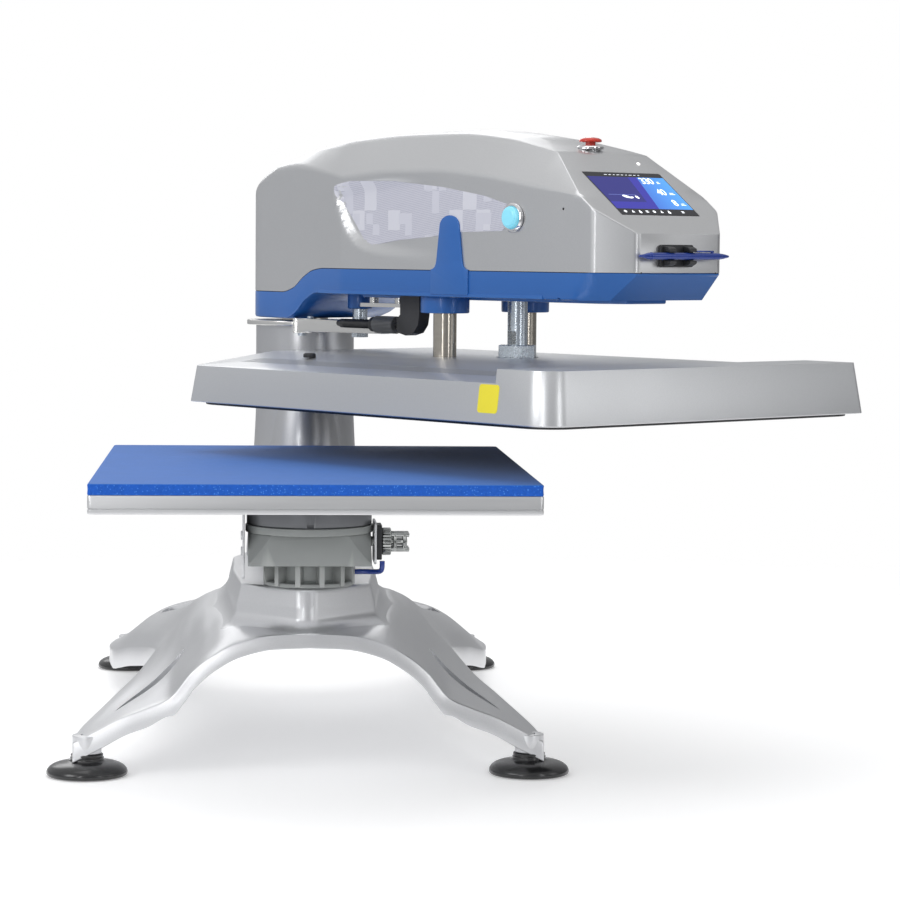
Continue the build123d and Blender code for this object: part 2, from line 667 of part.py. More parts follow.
with BuildPart() as power_inlet:
    with BuildSketch(head_front(-58)):
        with Locations((0, 524)):
            RectangleRounded(34, 50, 3)
    extrude(amount=1.6)
    with BuildSketch(head_front(-56.4)):
        with Locations((0, 524)):
            Rectangle(27, 42)
    extrude(amount=22)
    with BuildSketch(head_front(-58)):
        with Locations((0, 513)):
            Rectangle(22, 15)
    extrude(amount=14, mode=Mode.SUBTRACT)
    with BuildSketch(head_front(-58)):
        with Locations((-7, 513), (7, 513), (0, 516)):
            Rectangle(1.6, 4)
    extrude(amount=14)
    with BuildSketch(head_front(-60)):
        with Locations((0, 537)):
            Rectangle(14, 10)
    extrude(amount=2)

with BuildPart() as air_inlet:
    with BuildSketch(head_front(-72)):
        with Locations((0, 487)):
            Circle(7.9)
    extrude(amount=40)
    with BuildSketch(head_front(-64)):
        with Locations((0, 487)):
            RegularPolygon(9.4, 6, major_radius=False)
    extrude(amount=7)
    with BuildSketch(head_front(-72)):
        with Locations((0, 487)):
            Circle(5.6)
    extrude(amount=16, mode=Mode.SUBTRACT)

# ---------------------------------------------------------------------------
# Swing stop and brake under the rear of the head
# ---------------------------------------------------------------------------
with BuildPart() as stop_arm:
    # clevis that straddles the disc rim
    with BuildSketch(head_plane(429, 62, -53)):
        Rectangle(20, 20, rotation=-40)
    extrude(amount=15.4)
    with BuildSketch(head_plane(435.2)):
        Circle(64.2)
    extrude(amount=6.4, mode=Mode.SUBTRACT)
    with BuildSketch(head_plane(430.5)):
        Polygon((64, -60), (134, -44), (172, -36), (172, -24), (118, -6), (104, -10), (66, -46), align=None)
    extrude(amount=13)
    with BuildSketch(head_plane(429, 118, -20)):
        Circle(4.2)
    extrude(amount=20, mode=Mode.SUBTRACT)

with BuildPart() as stop_screws:
    with BuildSketch(head_plane(426, 66, -57)):
        Circle(4.4)
    extrude(amount=3)
    with BuildSketch(head_plane(444.5, 74, -52)):
        Circle(3.4)
    extrude(amount=2.4)
    with BuildSketch(head_plane(425.5, 118, -20)):
        RegularPolygon(7.6, 6, major_radius=False)
    extrude(amount=5)
    with BuildSketch(head_plane(430.5, 118, -20)):
        Circle(4.1)
    extrude(amount=60)
    with BuildSketch(head_plane(443.6, 118, -20)):
        Circle(8)
    extrude(amount=11.8)

with BuildPart() as pivot_plate:
    with BuildSketch(head_plane(458.6)):
        with Locations(Location((176, -33), 12)):
            SlotOverall(66, 18)
    extrude(amount=4)
    with BuildSketch(head_plane(462.6)):
        with Locations((160, -36), (194, -30)):
            Circle(5)
    extrude(amount=5.7)

DAMP_V, DAMP_Z = -52.0, 441.0
with BuildPart() as damper_body:
    with BuildSketch(Plane(origin=hp(126, DAMP_V, DAMP_Z), x_dir=EV, z_dir=EU)):
        Circle(4.6)
    extrude(amount=58)
    with BuildSketch(Plane(origin=hp(120, DAMP_V, DAMP_Z), x_dir=EV, z_dir=EU)):
        Circle(3.4)
    extrude(amount=6)
    with BuildSketch(Plane(origin=hp(178, DAMP_V, DAMP_Z), x_dir=EV, z_dir=EU)):
        Circle(7.6)
    extrude(amount=6)
    with BuildSketch(Plane(origin=hp(184, DAMP_V, DAMP_Z), x_dir=EV, z_dir=EU)):
        Circle(3)
    extrude(amount=48)

with BuildPart() as damper_sleeve:
    with BuildSketch(Plane(origin=hp(184.4, DAMP_V, DAMP_Z), x_dir=EV, z_dir=EU)):
        Circle(8.6)
        with PolarLocations(8.6, 20):
            Circle(0.6)
        Circle(3.06, mode=Mode.SUBTRACT)
    extrude(amount=32)

with BuildPart() as damper_bracket:
    with BuildSketch(head_side(DAMP_V - 7)):
        Polygon((224, 434), (238, 431), (250, 434), (257, 442), (259, 452), (259, 471.8), (229, 471.8), (229, 452), (224, 448), align=None)
    extrude(amount=-14)
    with BuildSketch(Plane(origin=hp(222, DAMP_V, DAMP_Z), x_dir=EV, z_dir=EU)):
        Circle(3.05)
    extrude(amount=12, mode=Mode.SUBTRACT)

# ---------------------------------------------------------------------------
# Heat platen: moves down with the air cylinder
# ---------------------------------------------------------------------------
def cover_plan(less, corner, other):
    """Cover outline: one generous corner at the near front, small radii on the rest."""
    with BuildSketch(Plane.XY) as face:
        Rectangle(COVER_L - less, COVER_W - less)
        fillet(face.vertices().filter_by(lambda q: q.X > 0 > q.Y), radius=corner)
        fillet(face.vertices().filter_by(lambda q: (q.X < 0 and abs(q.Y) > COVER_W / 2 - less / 2 - 1) or (q.X > COVER_L / 2 - less / 2 - 1 and q.Y > 0)), radius=other)
    return face.sketch


with BuildPart() as platen_cover:
    with BuildSketch(head_plane(COVER_Z, REACH, 0)):
        add(cover_plan(0, 27, 8))
    with BuildSketch(head_plane(DECK_Z, REACH, 0)):
        add(cover_plan(13, 25, 7))
    loft()
    for s in (-1, 1):
        with BuildSketch(head_front(REACH - 280)):
            Polygon((s * 110, DECK_Z), (s * 212, SHELF_Z), (s * 225, SHELF_Z - 1.7), (s * 225, 420), (s * 110, 420), align=None)
        extrude(amount=475, mode=Mode.SUBTRACT)
with BuildPart() as cover_hollow:
    with BuildSketch(head_plane(COVER_Z - 1, REACH, 0)):
        add(cover_plan(5, 24.5, 6))
    with BuildSketch(head_plane(DECK_Z - 2.5, REACH, 0)):
        add(cover_plan(18, 22.5, 5))
    loft()
    for s in (-1, 1):
        with BuildSketch(head_front(REACH - 280)):
            Polygon((s * 108, DECK_Z - 2.5), (s * 212, SHELF_Z - 2.7), (s * 225, SHELF_Z - 4.4), (s * 225, 420), (s * 108, 420), align=None)
        extrude(amount=478, mode=Mode.SUBTRACT)
with BuildPart() as cover_body:
    add(platen_cover.part)
    add(cover_hollow.part, mode=Mode.SUBTRACT)
    with BuildSketch(head_plane(380)):
        with Locations((ROD_U, 0)):
            Circle(22)
        with Locations((POST_U, -POST_V), (POST_U, POST_V)):
            Circle(12.6)
    extrude(amount=40, mode=Mode.SUBTRACT)
    # rows of vent slots along both shelves
    with BuildSketch(head_plane(380, REACH - 28, 0)):
        with Locations((0, -160), (0, 160)):
            with GridLocations(9.6, 1, 42, 1):
                Rectangle(5.2, 26)
    extrude(amount=40, mode=Mode.SUBTRACT)

with BuildPart() as heat_platen:
    with BuildSketch(head_plane(HEAT_Z, REACH, 0)):
        RectangleRounded(PAD_L, PAD_W, 10)
    extrude(amount=17)

with BuildPart() as heating_element:
    for v in (-150, -90, -30, 30, 90, 150):
        with BuildSketch(head_plane(HEAT_Z + 17.1, REACH, v)):
            Rectangle(430, 7)
        extrude(amount=6)
    for i, v in enumerate((-120, -60, 0, 60, 120)):
        e = 218.4 if i % 2 == 0 else -218.4
        with BuildSketch(head_plane(HEAT_Z + 17.1, REACH + e, v)):
            Rectangle(7, 67)
        extrude(amount=6)

with BuildPart() as platen_carrier:
    with BuildSketch(head_plane(387, ROD_U - 18, 0)):
        RectangleRounded(240, 176, 10)
    extrude(amount=9)
    with BuildSketch(head_plane(HEAT_Z + 17.05, ROD_U - 18, 0)):
        with Locations((-105, -60), (105, -60), (-105, 60), (105, 60)):
            Circle(9)
    extrude(amount=387 - HEAT_Z - 17.05)
    with BuildSketch(head_plane(396, ROD_U, 0)):
        Circle(20)
    extrude(amount=14.6)

with BuildPart() as rod_nut:
    with BuildSketch(head_plane(410.7, ROD_U, 0)):
        RegularPolygon(18, 6, major_radius=False, rotation=12)
        Circle(10.05, mode=Mode.SUBTRACT)
    extrude(amount=13)

with BuildPart() as press_rod:
    with BuildSketch(head_plane(410.7, ROD_U, 0)):
        Circle(ROD_R)
    extrude(amount=157)
    with BuildSketch(head_plane(424.2, ROD_U, 0)):
        Rectangle(17, 30)
        Rectangle(17, 15.5, mode=Mode.SUBTRACT)
    extrude(amount=13.5, mode=Mode.SUBTRACT)

with BuildPart() as piston:
    with BuildSketch(head_plane(567.8, ROD_U, 0)):
        Circle(46.94)
    extrude(amount=21)

with BuildPart() as guide_posts:
    with BuildSketch(head_plane(396.1, POST_U, 0)):
        with Locations((0, -POST_V), (0, POST_V)):
            Circle(POST_R)
    extrude(amount=180)

with BuildPart() as thermostat:
    with BuildSketch(head_plane(HEAT_Z + 17.1, REACH - 190, 0)):
        Rectangle(24, 30)
    extrude(amount=14)
    with BuildSketch(head_plane(HEAT_Z + 31.1, REACH - 190, 0)):
        with Locations((0, -8), (0, 8)):
            Circle(3)
    extrude(amount=5)

with BuildPart() as cover_bumper:
    with BuildSketch(head_plane(408.3, REACH - 163, -140)):
        Circle(6.5)
    extrude(amount=4.6)

PIECES = {
    "base_casting": base_casting, "foot_front_left": foot_front_left, "foot_front_right": foot_front_right,
    "foot_rear_left": foot_rear_left, "foot_rear_right": foot_rear_right, "column": column,
    "column_bearings": column_bearings, "swing_disc": swing_disc, "pedestal_hub": pedestal_hub,
    "pedestal_block": pedestal_block, "index_ring": index_ring, "swivel_ring": swivel_ring,
    "pedestal_side_plates": pedestal_side_plates, "knob_bracket": knob_bracket, "lock_knob": lock_knob,
    "air_tube": air_tube, "lower_platen": lower_platen, "silicone_pad": silicone_pad, "head_tray": tray_body,
    "tray_fins": tray_fins, "head_shell": shell_body, "touch_screen": touch_screen, "display_board": display_board,
    "status_light": status_light, "start_button_rings": start_button_rings, "start_button_near": start_button_near,
    "start_button_far": start_button_far, "stop_collar": stop_collar, "emergency_stop": emergency_stop,
    "stylus_holder": stylus_holder, "stylus": stylus, "head_spindle": head_spindle, "head_beam": head_beam,
    "guide_bushings": guide_bushings, "air_cylinder": air_cylinder, "power_supply": power_supply,
    "solenoid_valve": solenoid_valve, "control_board": control_board, "power_inlet": power_inlet,
    "air_inlet": air_inlet, "stop_arm": stop_arm, "stop_screws": stop_screws, "pivot_plate": pivot_plate,
    "damper_body": damper_body, "damper_sleeve": damper_sleeve, "damper_bracket": damper_bracket,
    "platen_cover": cover_body, "heat_platen": heat_platen, "heating_element": heating_element,
    "platen_carrier": platen_carrier, "rod_nut": rod_nut, "press_rod": press_rod, "piston": piston,
    "guide_posts": guide_posts, "thermostat": thermostat, "cover_bumper": cover_bumper,
}
for name, piece in PIECES.items():
    save(piece, name)
    print(name, "solids", len(piece.part.solids()), "volume", round(piece.part.volume), "valid", piece.part.is_valid)
lo = [min(tuple(p.part.bounding_box().min)[i] for p in PIECES.values()) for i in range(3)]
hi = [max(tuple(p.part.bounding_box().max)[i] for p in PIECES.values()) for i in range(3)]
print("box", [round(v, 2) for v in lo], [round(v, 2) for v in hi], "centre", [round((a + b) / 2, 3) for a, b in zip(lo, hi)])
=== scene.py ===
import bpy, bmesh
import numpy as np
from math import sin, cos, tan, pi, radians, sqrt, atan2, hypot
from mathutils import Vector, Matrix


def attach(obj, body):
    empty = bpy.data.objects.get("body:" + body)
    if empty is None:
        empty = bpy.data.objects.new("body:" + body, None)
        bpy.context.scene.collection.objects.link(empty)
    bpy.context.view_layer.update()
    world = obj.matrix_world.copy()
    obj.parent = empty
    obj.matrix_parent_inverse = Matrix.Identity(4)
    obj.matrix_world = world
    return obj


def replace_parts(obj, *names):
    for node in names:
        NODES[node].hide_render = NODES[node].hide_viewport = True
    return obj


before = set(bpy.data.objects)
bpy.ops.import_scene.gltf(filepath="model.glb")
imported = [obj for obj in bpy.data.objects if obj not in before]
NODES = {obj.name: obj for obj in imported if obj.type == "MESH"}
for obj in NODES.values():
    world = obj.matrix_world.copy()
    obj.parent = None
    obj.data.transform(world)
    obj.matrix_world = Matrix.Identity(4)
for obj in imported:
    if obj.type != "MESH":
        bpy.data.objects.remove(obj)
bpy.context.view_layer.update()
SC = bpy.context.scene

# ---------------------------------------------------------------------------
# Frames, all in millimetres until the very end
# ---------------------------------------------------------------------------
OX, OY = -141.795, -267.032
SWING_Y, SWING_DEG, REACH = 350.04, 37.49, 346.15
TH = radians(SWING_DEG)
EU = np.array((sin(TH), -cos(TH), 0.0))
EV = np.array((cos(TH), sin(TH), 0.0))
PIV = np.array((OX, OY + SWING_Y, 0.0))
UP = np.array((0.0, 0.0, 1.0))


def mach(p):
    """Machine frame (x right, y back, z up) to the row frame, mm."""
    p = np.atleast_2d(np.asarray(p, float))
    return p + np.array((OX, OY, 0.0))


def head(p):
    """Head frame (u forward, v far side, z up) to the row frame, mm."""
    p = np.atleast_2d(np.asarray(p, float))
    return PIV + p[:, :1] * EU + p[:, 1:2] * EV + p[:, 2:3] * UP


def axes(origin, x, y, z):
    """A local frame given by its origin and axes, in row-frame mm."""
    o, a, b, c = (np.asarray(q, float) for q in (origin, x, y, z))

    def to(p):
        p = np.atleast_2d(np.asarray(p, float))
        return o + p[:, :1] * a + p[:, 1:2] * b + p[:, 2:3] * c

    return to


def pchip(xs, ys, x):
    """Monotone cubic through points, so rows join smoothly without overshoot."""
    xs, ys, x = (np.asarray(a, float) for a in (xs, ys, x))
    h = np.diff(xs)
    d = np.diff(ys, axis=0) / (h if ys.ndim == 1 else h[:, None])
    m = np.zeros_like(ys)
    m[0], m[-1] = d[0], d[-1]
    for i in range(1, len(xs) - 1):
        w1, w2 = 2 * h[i] + h[i - 1], h[i] + 2 * h[i - 1]
        ok = d[i - 1] * d[i] > 0
        with np.errstate(divide="ignore", invalid="ignore"):
            v = (w1 + w2) / (w1 / d[i - 1] + w2 / d[i])
        m[i] = np.where(ok, v, 0)
    k = np.clip(np.searchsorted(xs, x) - 1, 0, len(xs) - 2)
    t = (x - xs[k]) / h[k]
    hk = h[k]
    if ys.ndim == 2:
        t, hk = t[:, None], hk[:, None]
    return ((1 + 2 * t) * (1 - t) ** 2) * ys[k] + t * (1 - t) ** 2 * hk * m[k] + t * t * (3 - 2 * t) * ys[k + 1] + t * t * (t - 1) * hk * m[k + 1]


def smooth(a, b, x):
    t = np.clip((np.asarray(x, float) - a) / (b - a), 0, 1)
    return t * t * (3 - 2 * t)


def fillet2(pts, radii, n=6, closed=True):
    """Round the corners of a 2-D polyline, always with the same number of points."""
    pts = [np.asarray(p, float) for p in pts]
    out, m = [], len(pts)
    for i, p in enumerate(pts):
        r = radii[i] if hasattr(radii, "__len__") else radii
        if not closed and i in (0, m - 1):
            out.append(p)
            continue
        a, b = pts[i - 1] - p, pts[(i + 1) % m] - p
        la, lb = np.linalg.norm(a), np.linalg.norm(b)
        if la < 1e-9 or lb < 1e-9 or r <= 0:
            out += [p.copy() for _ in range(n + 1)]
            continue
        a, b = a / la, b / lb
        c = np.clip(np.dot(a, b), -1, 1)
        half = 0.5 * np.arccos(c)
        if half > pi / 2 - 1e-3:
            out += [p + (a if j < n / 2 else b) * 0.02 * abs(j - n / 2) for j in range(n + 1)]
            continue
        t = min(r / np.tan(half), 0.48 * la, 0.48 * lb)
        rr = t * np.tan(half)
        bis = (a + b) / np.linalg.norm(a + b)
        cen = p + bis * (rr / np.sin(half))
        s, e = p + a * t - cen, p + b * t - cen
        ang = np.arccos(np.clip(np.dot(s, e) / max(rr * rr, 1e-12), -1, 1))
        for j in range(n + 1):
            f = j / n
            if ang < 1e-6:
                q = s
            else:
                q = (np.sin((1 - f) * ang) * s + np.sin(f * ang) * e) / np.sin(ang)
            out.append(cen + q)
    return np.array(out)


def rrect(lx, ly, r, n=8, cx=0.0, cy=0.0):
    """Rounded rectangle outline, anticlockwise."""
    r = max(min(r, lx / 2 - 0.01, ly / 2 - 0.01), 0.01)
    out = []
    for qx, qy, a0 in ((1, 1, 0), (-1, 1, 90), (-1, -1, 180), (1, -1, 270)):
        for j in range(n + 1):
            a = radians(a0 + 90 * j / n)
            out.append((cx + qx * (lx / 2 - r) + r * cos(a), cy + qy * (ly / 2 - r) + r * sin(a)))
    return np.array(out)


def inset(poly, d):
    """Polygon offset inwards by d (anticlockwise outline), with mitred corners."""
    p = np.asarray(poly, float)
    a, b = np.roll(p, 1, 0), np.roll(p, -1, 0)

    def nrm(q):
        q = q / np.maximum(np.linalg.norm(q, axis=1, keepdims=True), 1e-9)
        return np.stack((-q[:, 1], q[:, 0]), 1)

    n1, n2 = nrm(p - a), nrm(b - p)
    m = n1 + n2
    m /= np.maximum((m * n1).sum(1, keepdims=True), 0.35)
    return p + m * d


# ---------------------------------------------------------------------------
# Mesh helpers
# ---------------------------------------------------------------------------
def build(name, verts, faces, body, mat, merge=1e-4, sharp=32, uv=None):
    """A mesh object from row-frame millimetres."""
    me = bpy.data.meshes.new(name)
    me.from_pydata([tuple(v) for v in np.asarray(verts) * 0.001], [], [list(map(int, f)) for f in faces])
    me.update()
    if uv is not None:
        layer = me.uv_layers.new(name="UVMap")
        uv = np.asarray(uv, float)
        idx = np.zeros(len(me.loops), int)
        me.loops.foreach_get("vertex_index", idx)
        layer.data.foreach_set("uv", uv[idx].ravel())
    ob = bpy.data.objects.new(name, me)
    SC.collection.objects.link(ob)
    bm = bmesh.new()
    bm.from_mesh(me)
    bmesh.ops.remove_doubles(bm, verts=bm.verts, dist=merge * 0.01)
    bmesh.ops.dissolve_degenerate(bm, edges=bm.edges, dist=1e-6)
    bmesh.ops.recalc_face_normals(bm, faces=bm.faces)
    bm.to_mesh(me)
    bm.free()
    shade(me, sharp)
    if mat is not None:
        for m in (mat if isinstance(mat, (list, tuple)) else [mat]):
            me.materials.append(m)
    if body:
        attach(ob, body)
    return ob


def shade(me, deg):
    me.polygons.foreach_set("use_smooth", [True] * len(me.polygons))
    me.set_sharp_from_angle(angle=radians(deg))
    me.update()


def bake(ob, sharp=None):
    """Apply every modifier."""
    dg = bpy.context.evaluated_depsgraph_get()
    me = bpy.data.meshes.new_from_object(ob.evaluated_get(dg), preserve_all_data_layers=True, depsgraph=dg)
    old, name = ob.data, ob.data.name
    ob.modifiers.clear()
    ob.data = me
    bpy.data.meshes.remove(old)
    me.name = name
    if sharp is not None:
        shade(me, sharp)
    return ob


def bev(ob, w, seg=2, deg=30, apply=True, sharp=32):
    m = ob.modifiers.new("bevel", "BEVEL")
    m.width, m.segments, m.limit_method, m.angle_limit = w * 0.001, seg, "ANGLE", radians(deg)
    m.harden_normals = False
    m.use_clamp_overlap = True
    return bake(ob, sharp) if apply else ob


def cut(ob, tools, op="DIFFERENCE", sharp=32, solver="EXACT"):
    for t in tools if isinstance(tools, (list, tuple)) else [tools]:
        m = ob.modifiers.new("cut", "BOOLEAN")
        m.operation, m.object, m.solver = op, t, solver
        bake(ob, sharp)
    for t in tools if isinstance(tools, (list, tuple)) else [tools]:
        d = t.data
        bpy.data.objects.remove(t)
        if d.users == 0:
            bpy.data.meshes.remove(d)
    return ob


def tidy(ob, sharp=32, dist=2e-5):
    """Weld, drop slivers and point normals outwards after a boolean."""
    bm = bmesh.new()
    bm.from_mesh(ob.data)
    bmesh.ops.remove_doubles(bm, verts=bm.verts, dist=dist)
    bmesh.ops.dissolve_degenerate(bm, edges=bm.edges, dist=1e-5)
    loose = [v for v in bm.verts if not v.link_faces]
    bmesh.ops.delete(bm, geom=loose, context="VERTS")
    bmesh.ops.recalc_face_normals(bm, faces=bm.faces)
    bm.to_mesh(ob.data)
    bm.free()
    shade(ob.data, sharp)
    return ob


def rings(name, loops, body, mat, to=None, caps=(True, True), sharp=32):
    """Closed solid through rings with equal point counts; each ring is (n, 3)."""
    loops = [np.asarray(l, float) for l in loops]
    n = len(loops[0])
    pts = np.concatenate(loops)
    if to is not None:
        pts = to(pts)
    faces = []
    for k in range(len(loops) - 1):
        a, b = k * n, (k + 1) * n
        for i in range(n):
            j = (i + 1) % n
            faces.append((a + i, a + j, b + j, b + i))
    if caps[0]:
        faces.append(list(range(n))[::-1])
    if caps[1]:
        faces.append([(len(loops) - 1) * n + i for i in range(n)])
    return build(name, pts, faces, body, mat, sharp=sharp)


def prism(name, poly, z0, z1, body, mat, to, edge=0.0, seg=2, sharp=32, top=None, bot=None):
    """Upright prism of a 2-D outline with rounded top and bottom edges."""
    p = np.asarray(poly, float)
    area = 0.5 * np.sum(p[:, 0] * np.roll(p[:, 1], -1) - np.roll(p[:, 0], -1) * p[:, 1])
    if area < 0:
        p = p[::-1]
    top = edge if top is None else top
    bot = edge if bot is None else bot
    loops = []

    def add(d, z):
        q = inset(p, d) if d > 1e-6 else p
        loops.append(np.column_stack((q, np.full(len(q), z))))

    if bot > 0:
        for k in range(seg + 1):
            a = pi / 2 * k / seg
            add(bot * (1 - sin(a)), z0 + bot * (1 - cos(a)))
    else:
        add(0, z0)
    if top > 0:
        for k in range(seg + 1):
            a = pi / 2 * k / seg
            add(top * (1 - cos(a)), z1 - top * (1 - sin(a)))
    else:
        add(0, z1)
    return rings(name, loops, body, mat, to, sharp=sharp)


def lathe(name, prof, body, mat, to, n=96, sharp=32, wobble=None):
    """Solid of revolution about the local z axis: profile of (r, z) from axis to axis."""
    verts, faces, idx = [], [], []
    for r, z in prof:
        if r < 1e-6:
            idx.append([len(verts)])
            verts.append((0, 0, z))
        else:
            row = []
            for i in range(n):
                a = 2 * pi * i / n
                rr = r if wobble is None else wobble(r, z, a)
                row.append(len(verts))
                verts.append((rr * cos(a), rr * sin(a), z))
            idx.append(row)
    closed = len(idx[0]) > 1
    pairs = list(zip(idx[:-1], idx[1:])) + ([(idx[-1], idx[0])] if closed else [])
    for a, b in pairs:
        for i in range(n):
            j = (i + 1) % n
            if len(a) == 1 and len(b) == 1:
                continue
            if len(a) == 1:
                faces.append((a[0], b[i], b[j]))
            elif len(b) == 1:
                faces.append((a[i], b[0], a[j]))
            else:
                faces.append((a[i], b[i], b[j], a[j]))
    return build(name, to(verts), faces, body, mat, sharp=sharp)


def rp(prof, r=1.0, n=3):
    """Round the corners of a lathe profile."""
    return [tuple(p) for p in fillet2(prof, [0] + [r] * (len(prof) - 2) + [0], n, closed=False)]


def sweep(name, path, radius, body, mat, n=20):
    """Round rod along a smooth path of row-frame points."""
    path = np.asarray(path, float)
    t = np.gradient(path, axis=0)
    t /= np.linalg.norm(t, axis=1, keepdims=True)
    ref = np.array((0.13, 0.31, 0.94))
    x = np.cross(t[0], ref)
    x /= np.linalg.norm(x)
    loops = []
    for p, d in zip(path, t):
        x = x - np.dot(x, d) * d
        x /= np.linalg.norm(x)
        y = np.cross(d, x)
        loops.append([p + radius * (cos(a) * x + sin(a) * y) for a in np.linspace(0, 2 * pi, n, endpoint=False)])
    return rings(name, loops, body, mat)


def join(obs, name=None, sharp=None):
    """Join closed pieces on one body into one object."""
    base = obs[0]
    bm = bmesh.new()
    mats = []
    for o in obs:
        off = []
        for m in o.data.materials:
            if m not in mats:
                mats.append(m)
            off.append(mats.index(m))
        o.data.polygons.foreach_set("material_index", [off[p.material_index] if off else 0 for p in o.data.polygons])
        bm.from_mesh(o.data)
    bm.to_mesh(base.data)
    bm.free()
    base.data.materials.clear()
    for m in mats:
        base.data.materials.append(m)
    for o in obs[1:]:
        d = o.data
        bpy.data.objects.remove(o)
        bpy.data.meshes.remove(d)
    if name:
        base.name = name
        base.data.name = name
    if sharp is not None:
        shade(base.data, sharp)
    return base

# ---------------------------------------------------------------------------
# Materials, all procedural
# ---------------------------------------------------------------------------
def material(name, base, rough=0.4, metal=0.0, var=0.06, vscale=40, rvar=0.05, bump=0.0, bscale=900,
             stretch=(1, 1, 1), fine=0.0, fscale=3000, wear=0.0, wear_col=(0.9, 0.9, 0.9), coat=0.0, coat_rough=0.1,
             spec=0.5, dist=0.0004, speck=0.0, speck_col=(1, 1, 1), speck_scale=700, ior=1.5, kind="noise", sheen=0.0):
    m = bpy.data.materials.new(name)
    m.use_nodes = True
    nt = m.node_tree
    nt.nodes.clear()
    N, L = nt.nodes.new, nt.links.new
    out = N("ShaderNodeOutputMaterial")
    b = N("ShaderNodeBsdfPrincipled")
    L(b.outputs[0], out.inputs[0])
    b.inputs["Metallic"].default_value = metal
    b.inputs["Coat Weight"].default_value = coat
    b.inputs["Coat Roughness"].default_value = coat_rough
    b.inputs["Specular IOR Level"].default_value = spec
    b.inputs["IOR"].default_value = ior
    if sheen:
        b.inputs["Sheen Weight"].default_value = sheen
    tc = N("ShaderNodeTexCoord")
    mp = N("ShaderNodeMapping")
    mp.inputs["Scale"].default_value = stretch
    L(tc.outputs["Object"], mp.inputs[0])

    def noise(scale, detail=3, rough_=0.55):
        t = N("ShaderNodeTexNoise")
        t.inputs["Scale"].default_value = scale
        t.inputs["Detail"].default_value = detail
        t.inputs["Roughness"].default_value = rough_
        L(mp.outputs[0], t.inputs[0])
        return t.outputs[0]

    def mix(fac, a, c):
        x = N("ShaderNodeMix")
        x.data_type = "RGBA"
        L(fac, x.inputs[0])
        for s, q in ((x.inputs[6], a), (x.inputs[7], c)):
            if isinstance(q, tuple):
                s.default_value = (*q, 1)
            else:
                L(q, s)
        return x.outputs[2]

    lo = tuple(max(0, c * (1 - var)) for c in base)
    hi = tuple(min(1, c * (1 + var)) for c in base)
    col = mix(noise(vscale), lo, hi)
    if fine > 0:
        v = N("ShaderNodeTexVoronoi")
        v.inputs["Scale"].default_value = fscale
        L(mp.outputs[0], v.inputs[0])
        r = N("ShaderNodeMapRange")
        r.inputs["From Min"].default_value, r.inputs["From Max"].default_value = 0.0, 1.0
        r.inputs["To Min"].default_value, r.inputs["To Max"].default_value = 0.0, fine
        sep = N("ShaderNodeSeparateColor")
        L(v.outputs["Color"], sep.inputs[0])
        L(sep.outputs[0], r.inputs[0])
        col = mix(r.outputs[0], col, tuple(min(1, c * 1.35) for c in base))
    if speck > 0:
        v = N("ShaderNodeTexVoronoi")
        v.inputs["Scale"].default_value = speck_scale
        L(mp.outputs[0], v.inputs[0])
        r = N("ShaderNodeMapRange")
        r.inputs["From Min"].default_value, r.inputs["From Max"].default_value = 0.28, 0.12
        r.inputs["To Max"].default_value = speck
        L(v.outputs["Distance"], r.inputs[0])
        col = mix(r.outputs[0], col, speck_col)
    if wear > 0:
        g = N("ShaderNodeNewGeometry")
        r = N("ShaderNodeMapRange")
        r.inputs["From Min"].default_value, r.inputs["From Max"].default_value = 0.54, 0.66
        r.inputs["To Max"].default_value = wear
        L(g.outputs["Pointiness"], r.inputs[0])
        col = mix(r.outputs[0], col, wear_col)
    L(col, b.inputs["Base Color"])
    r = N("ShaderNodeMapRange")
    r.inputs["To Min"].default_value, r.inputs["To Max"].default_value = max(0.02, rough - rvar), min(1, rough + rvar)
    L(noise(vscale * 2.3, 4), r.inputs[0])
    L(r.outputs[0], b.inputs["Roughness"])
    if bump > 0:
        bp = N("ShaderNodeBump")
        bp.inputs["Strength"].default_value = bump
        bp.inputs["Distance"].default_value = dist
        L(noise(bscale, 4) if kind == "noise" else noise(bscale, 1, 0.2), bp.inputs["Height"])
        L(bp.outputs[0], b.inputs["Normal"])
    return m


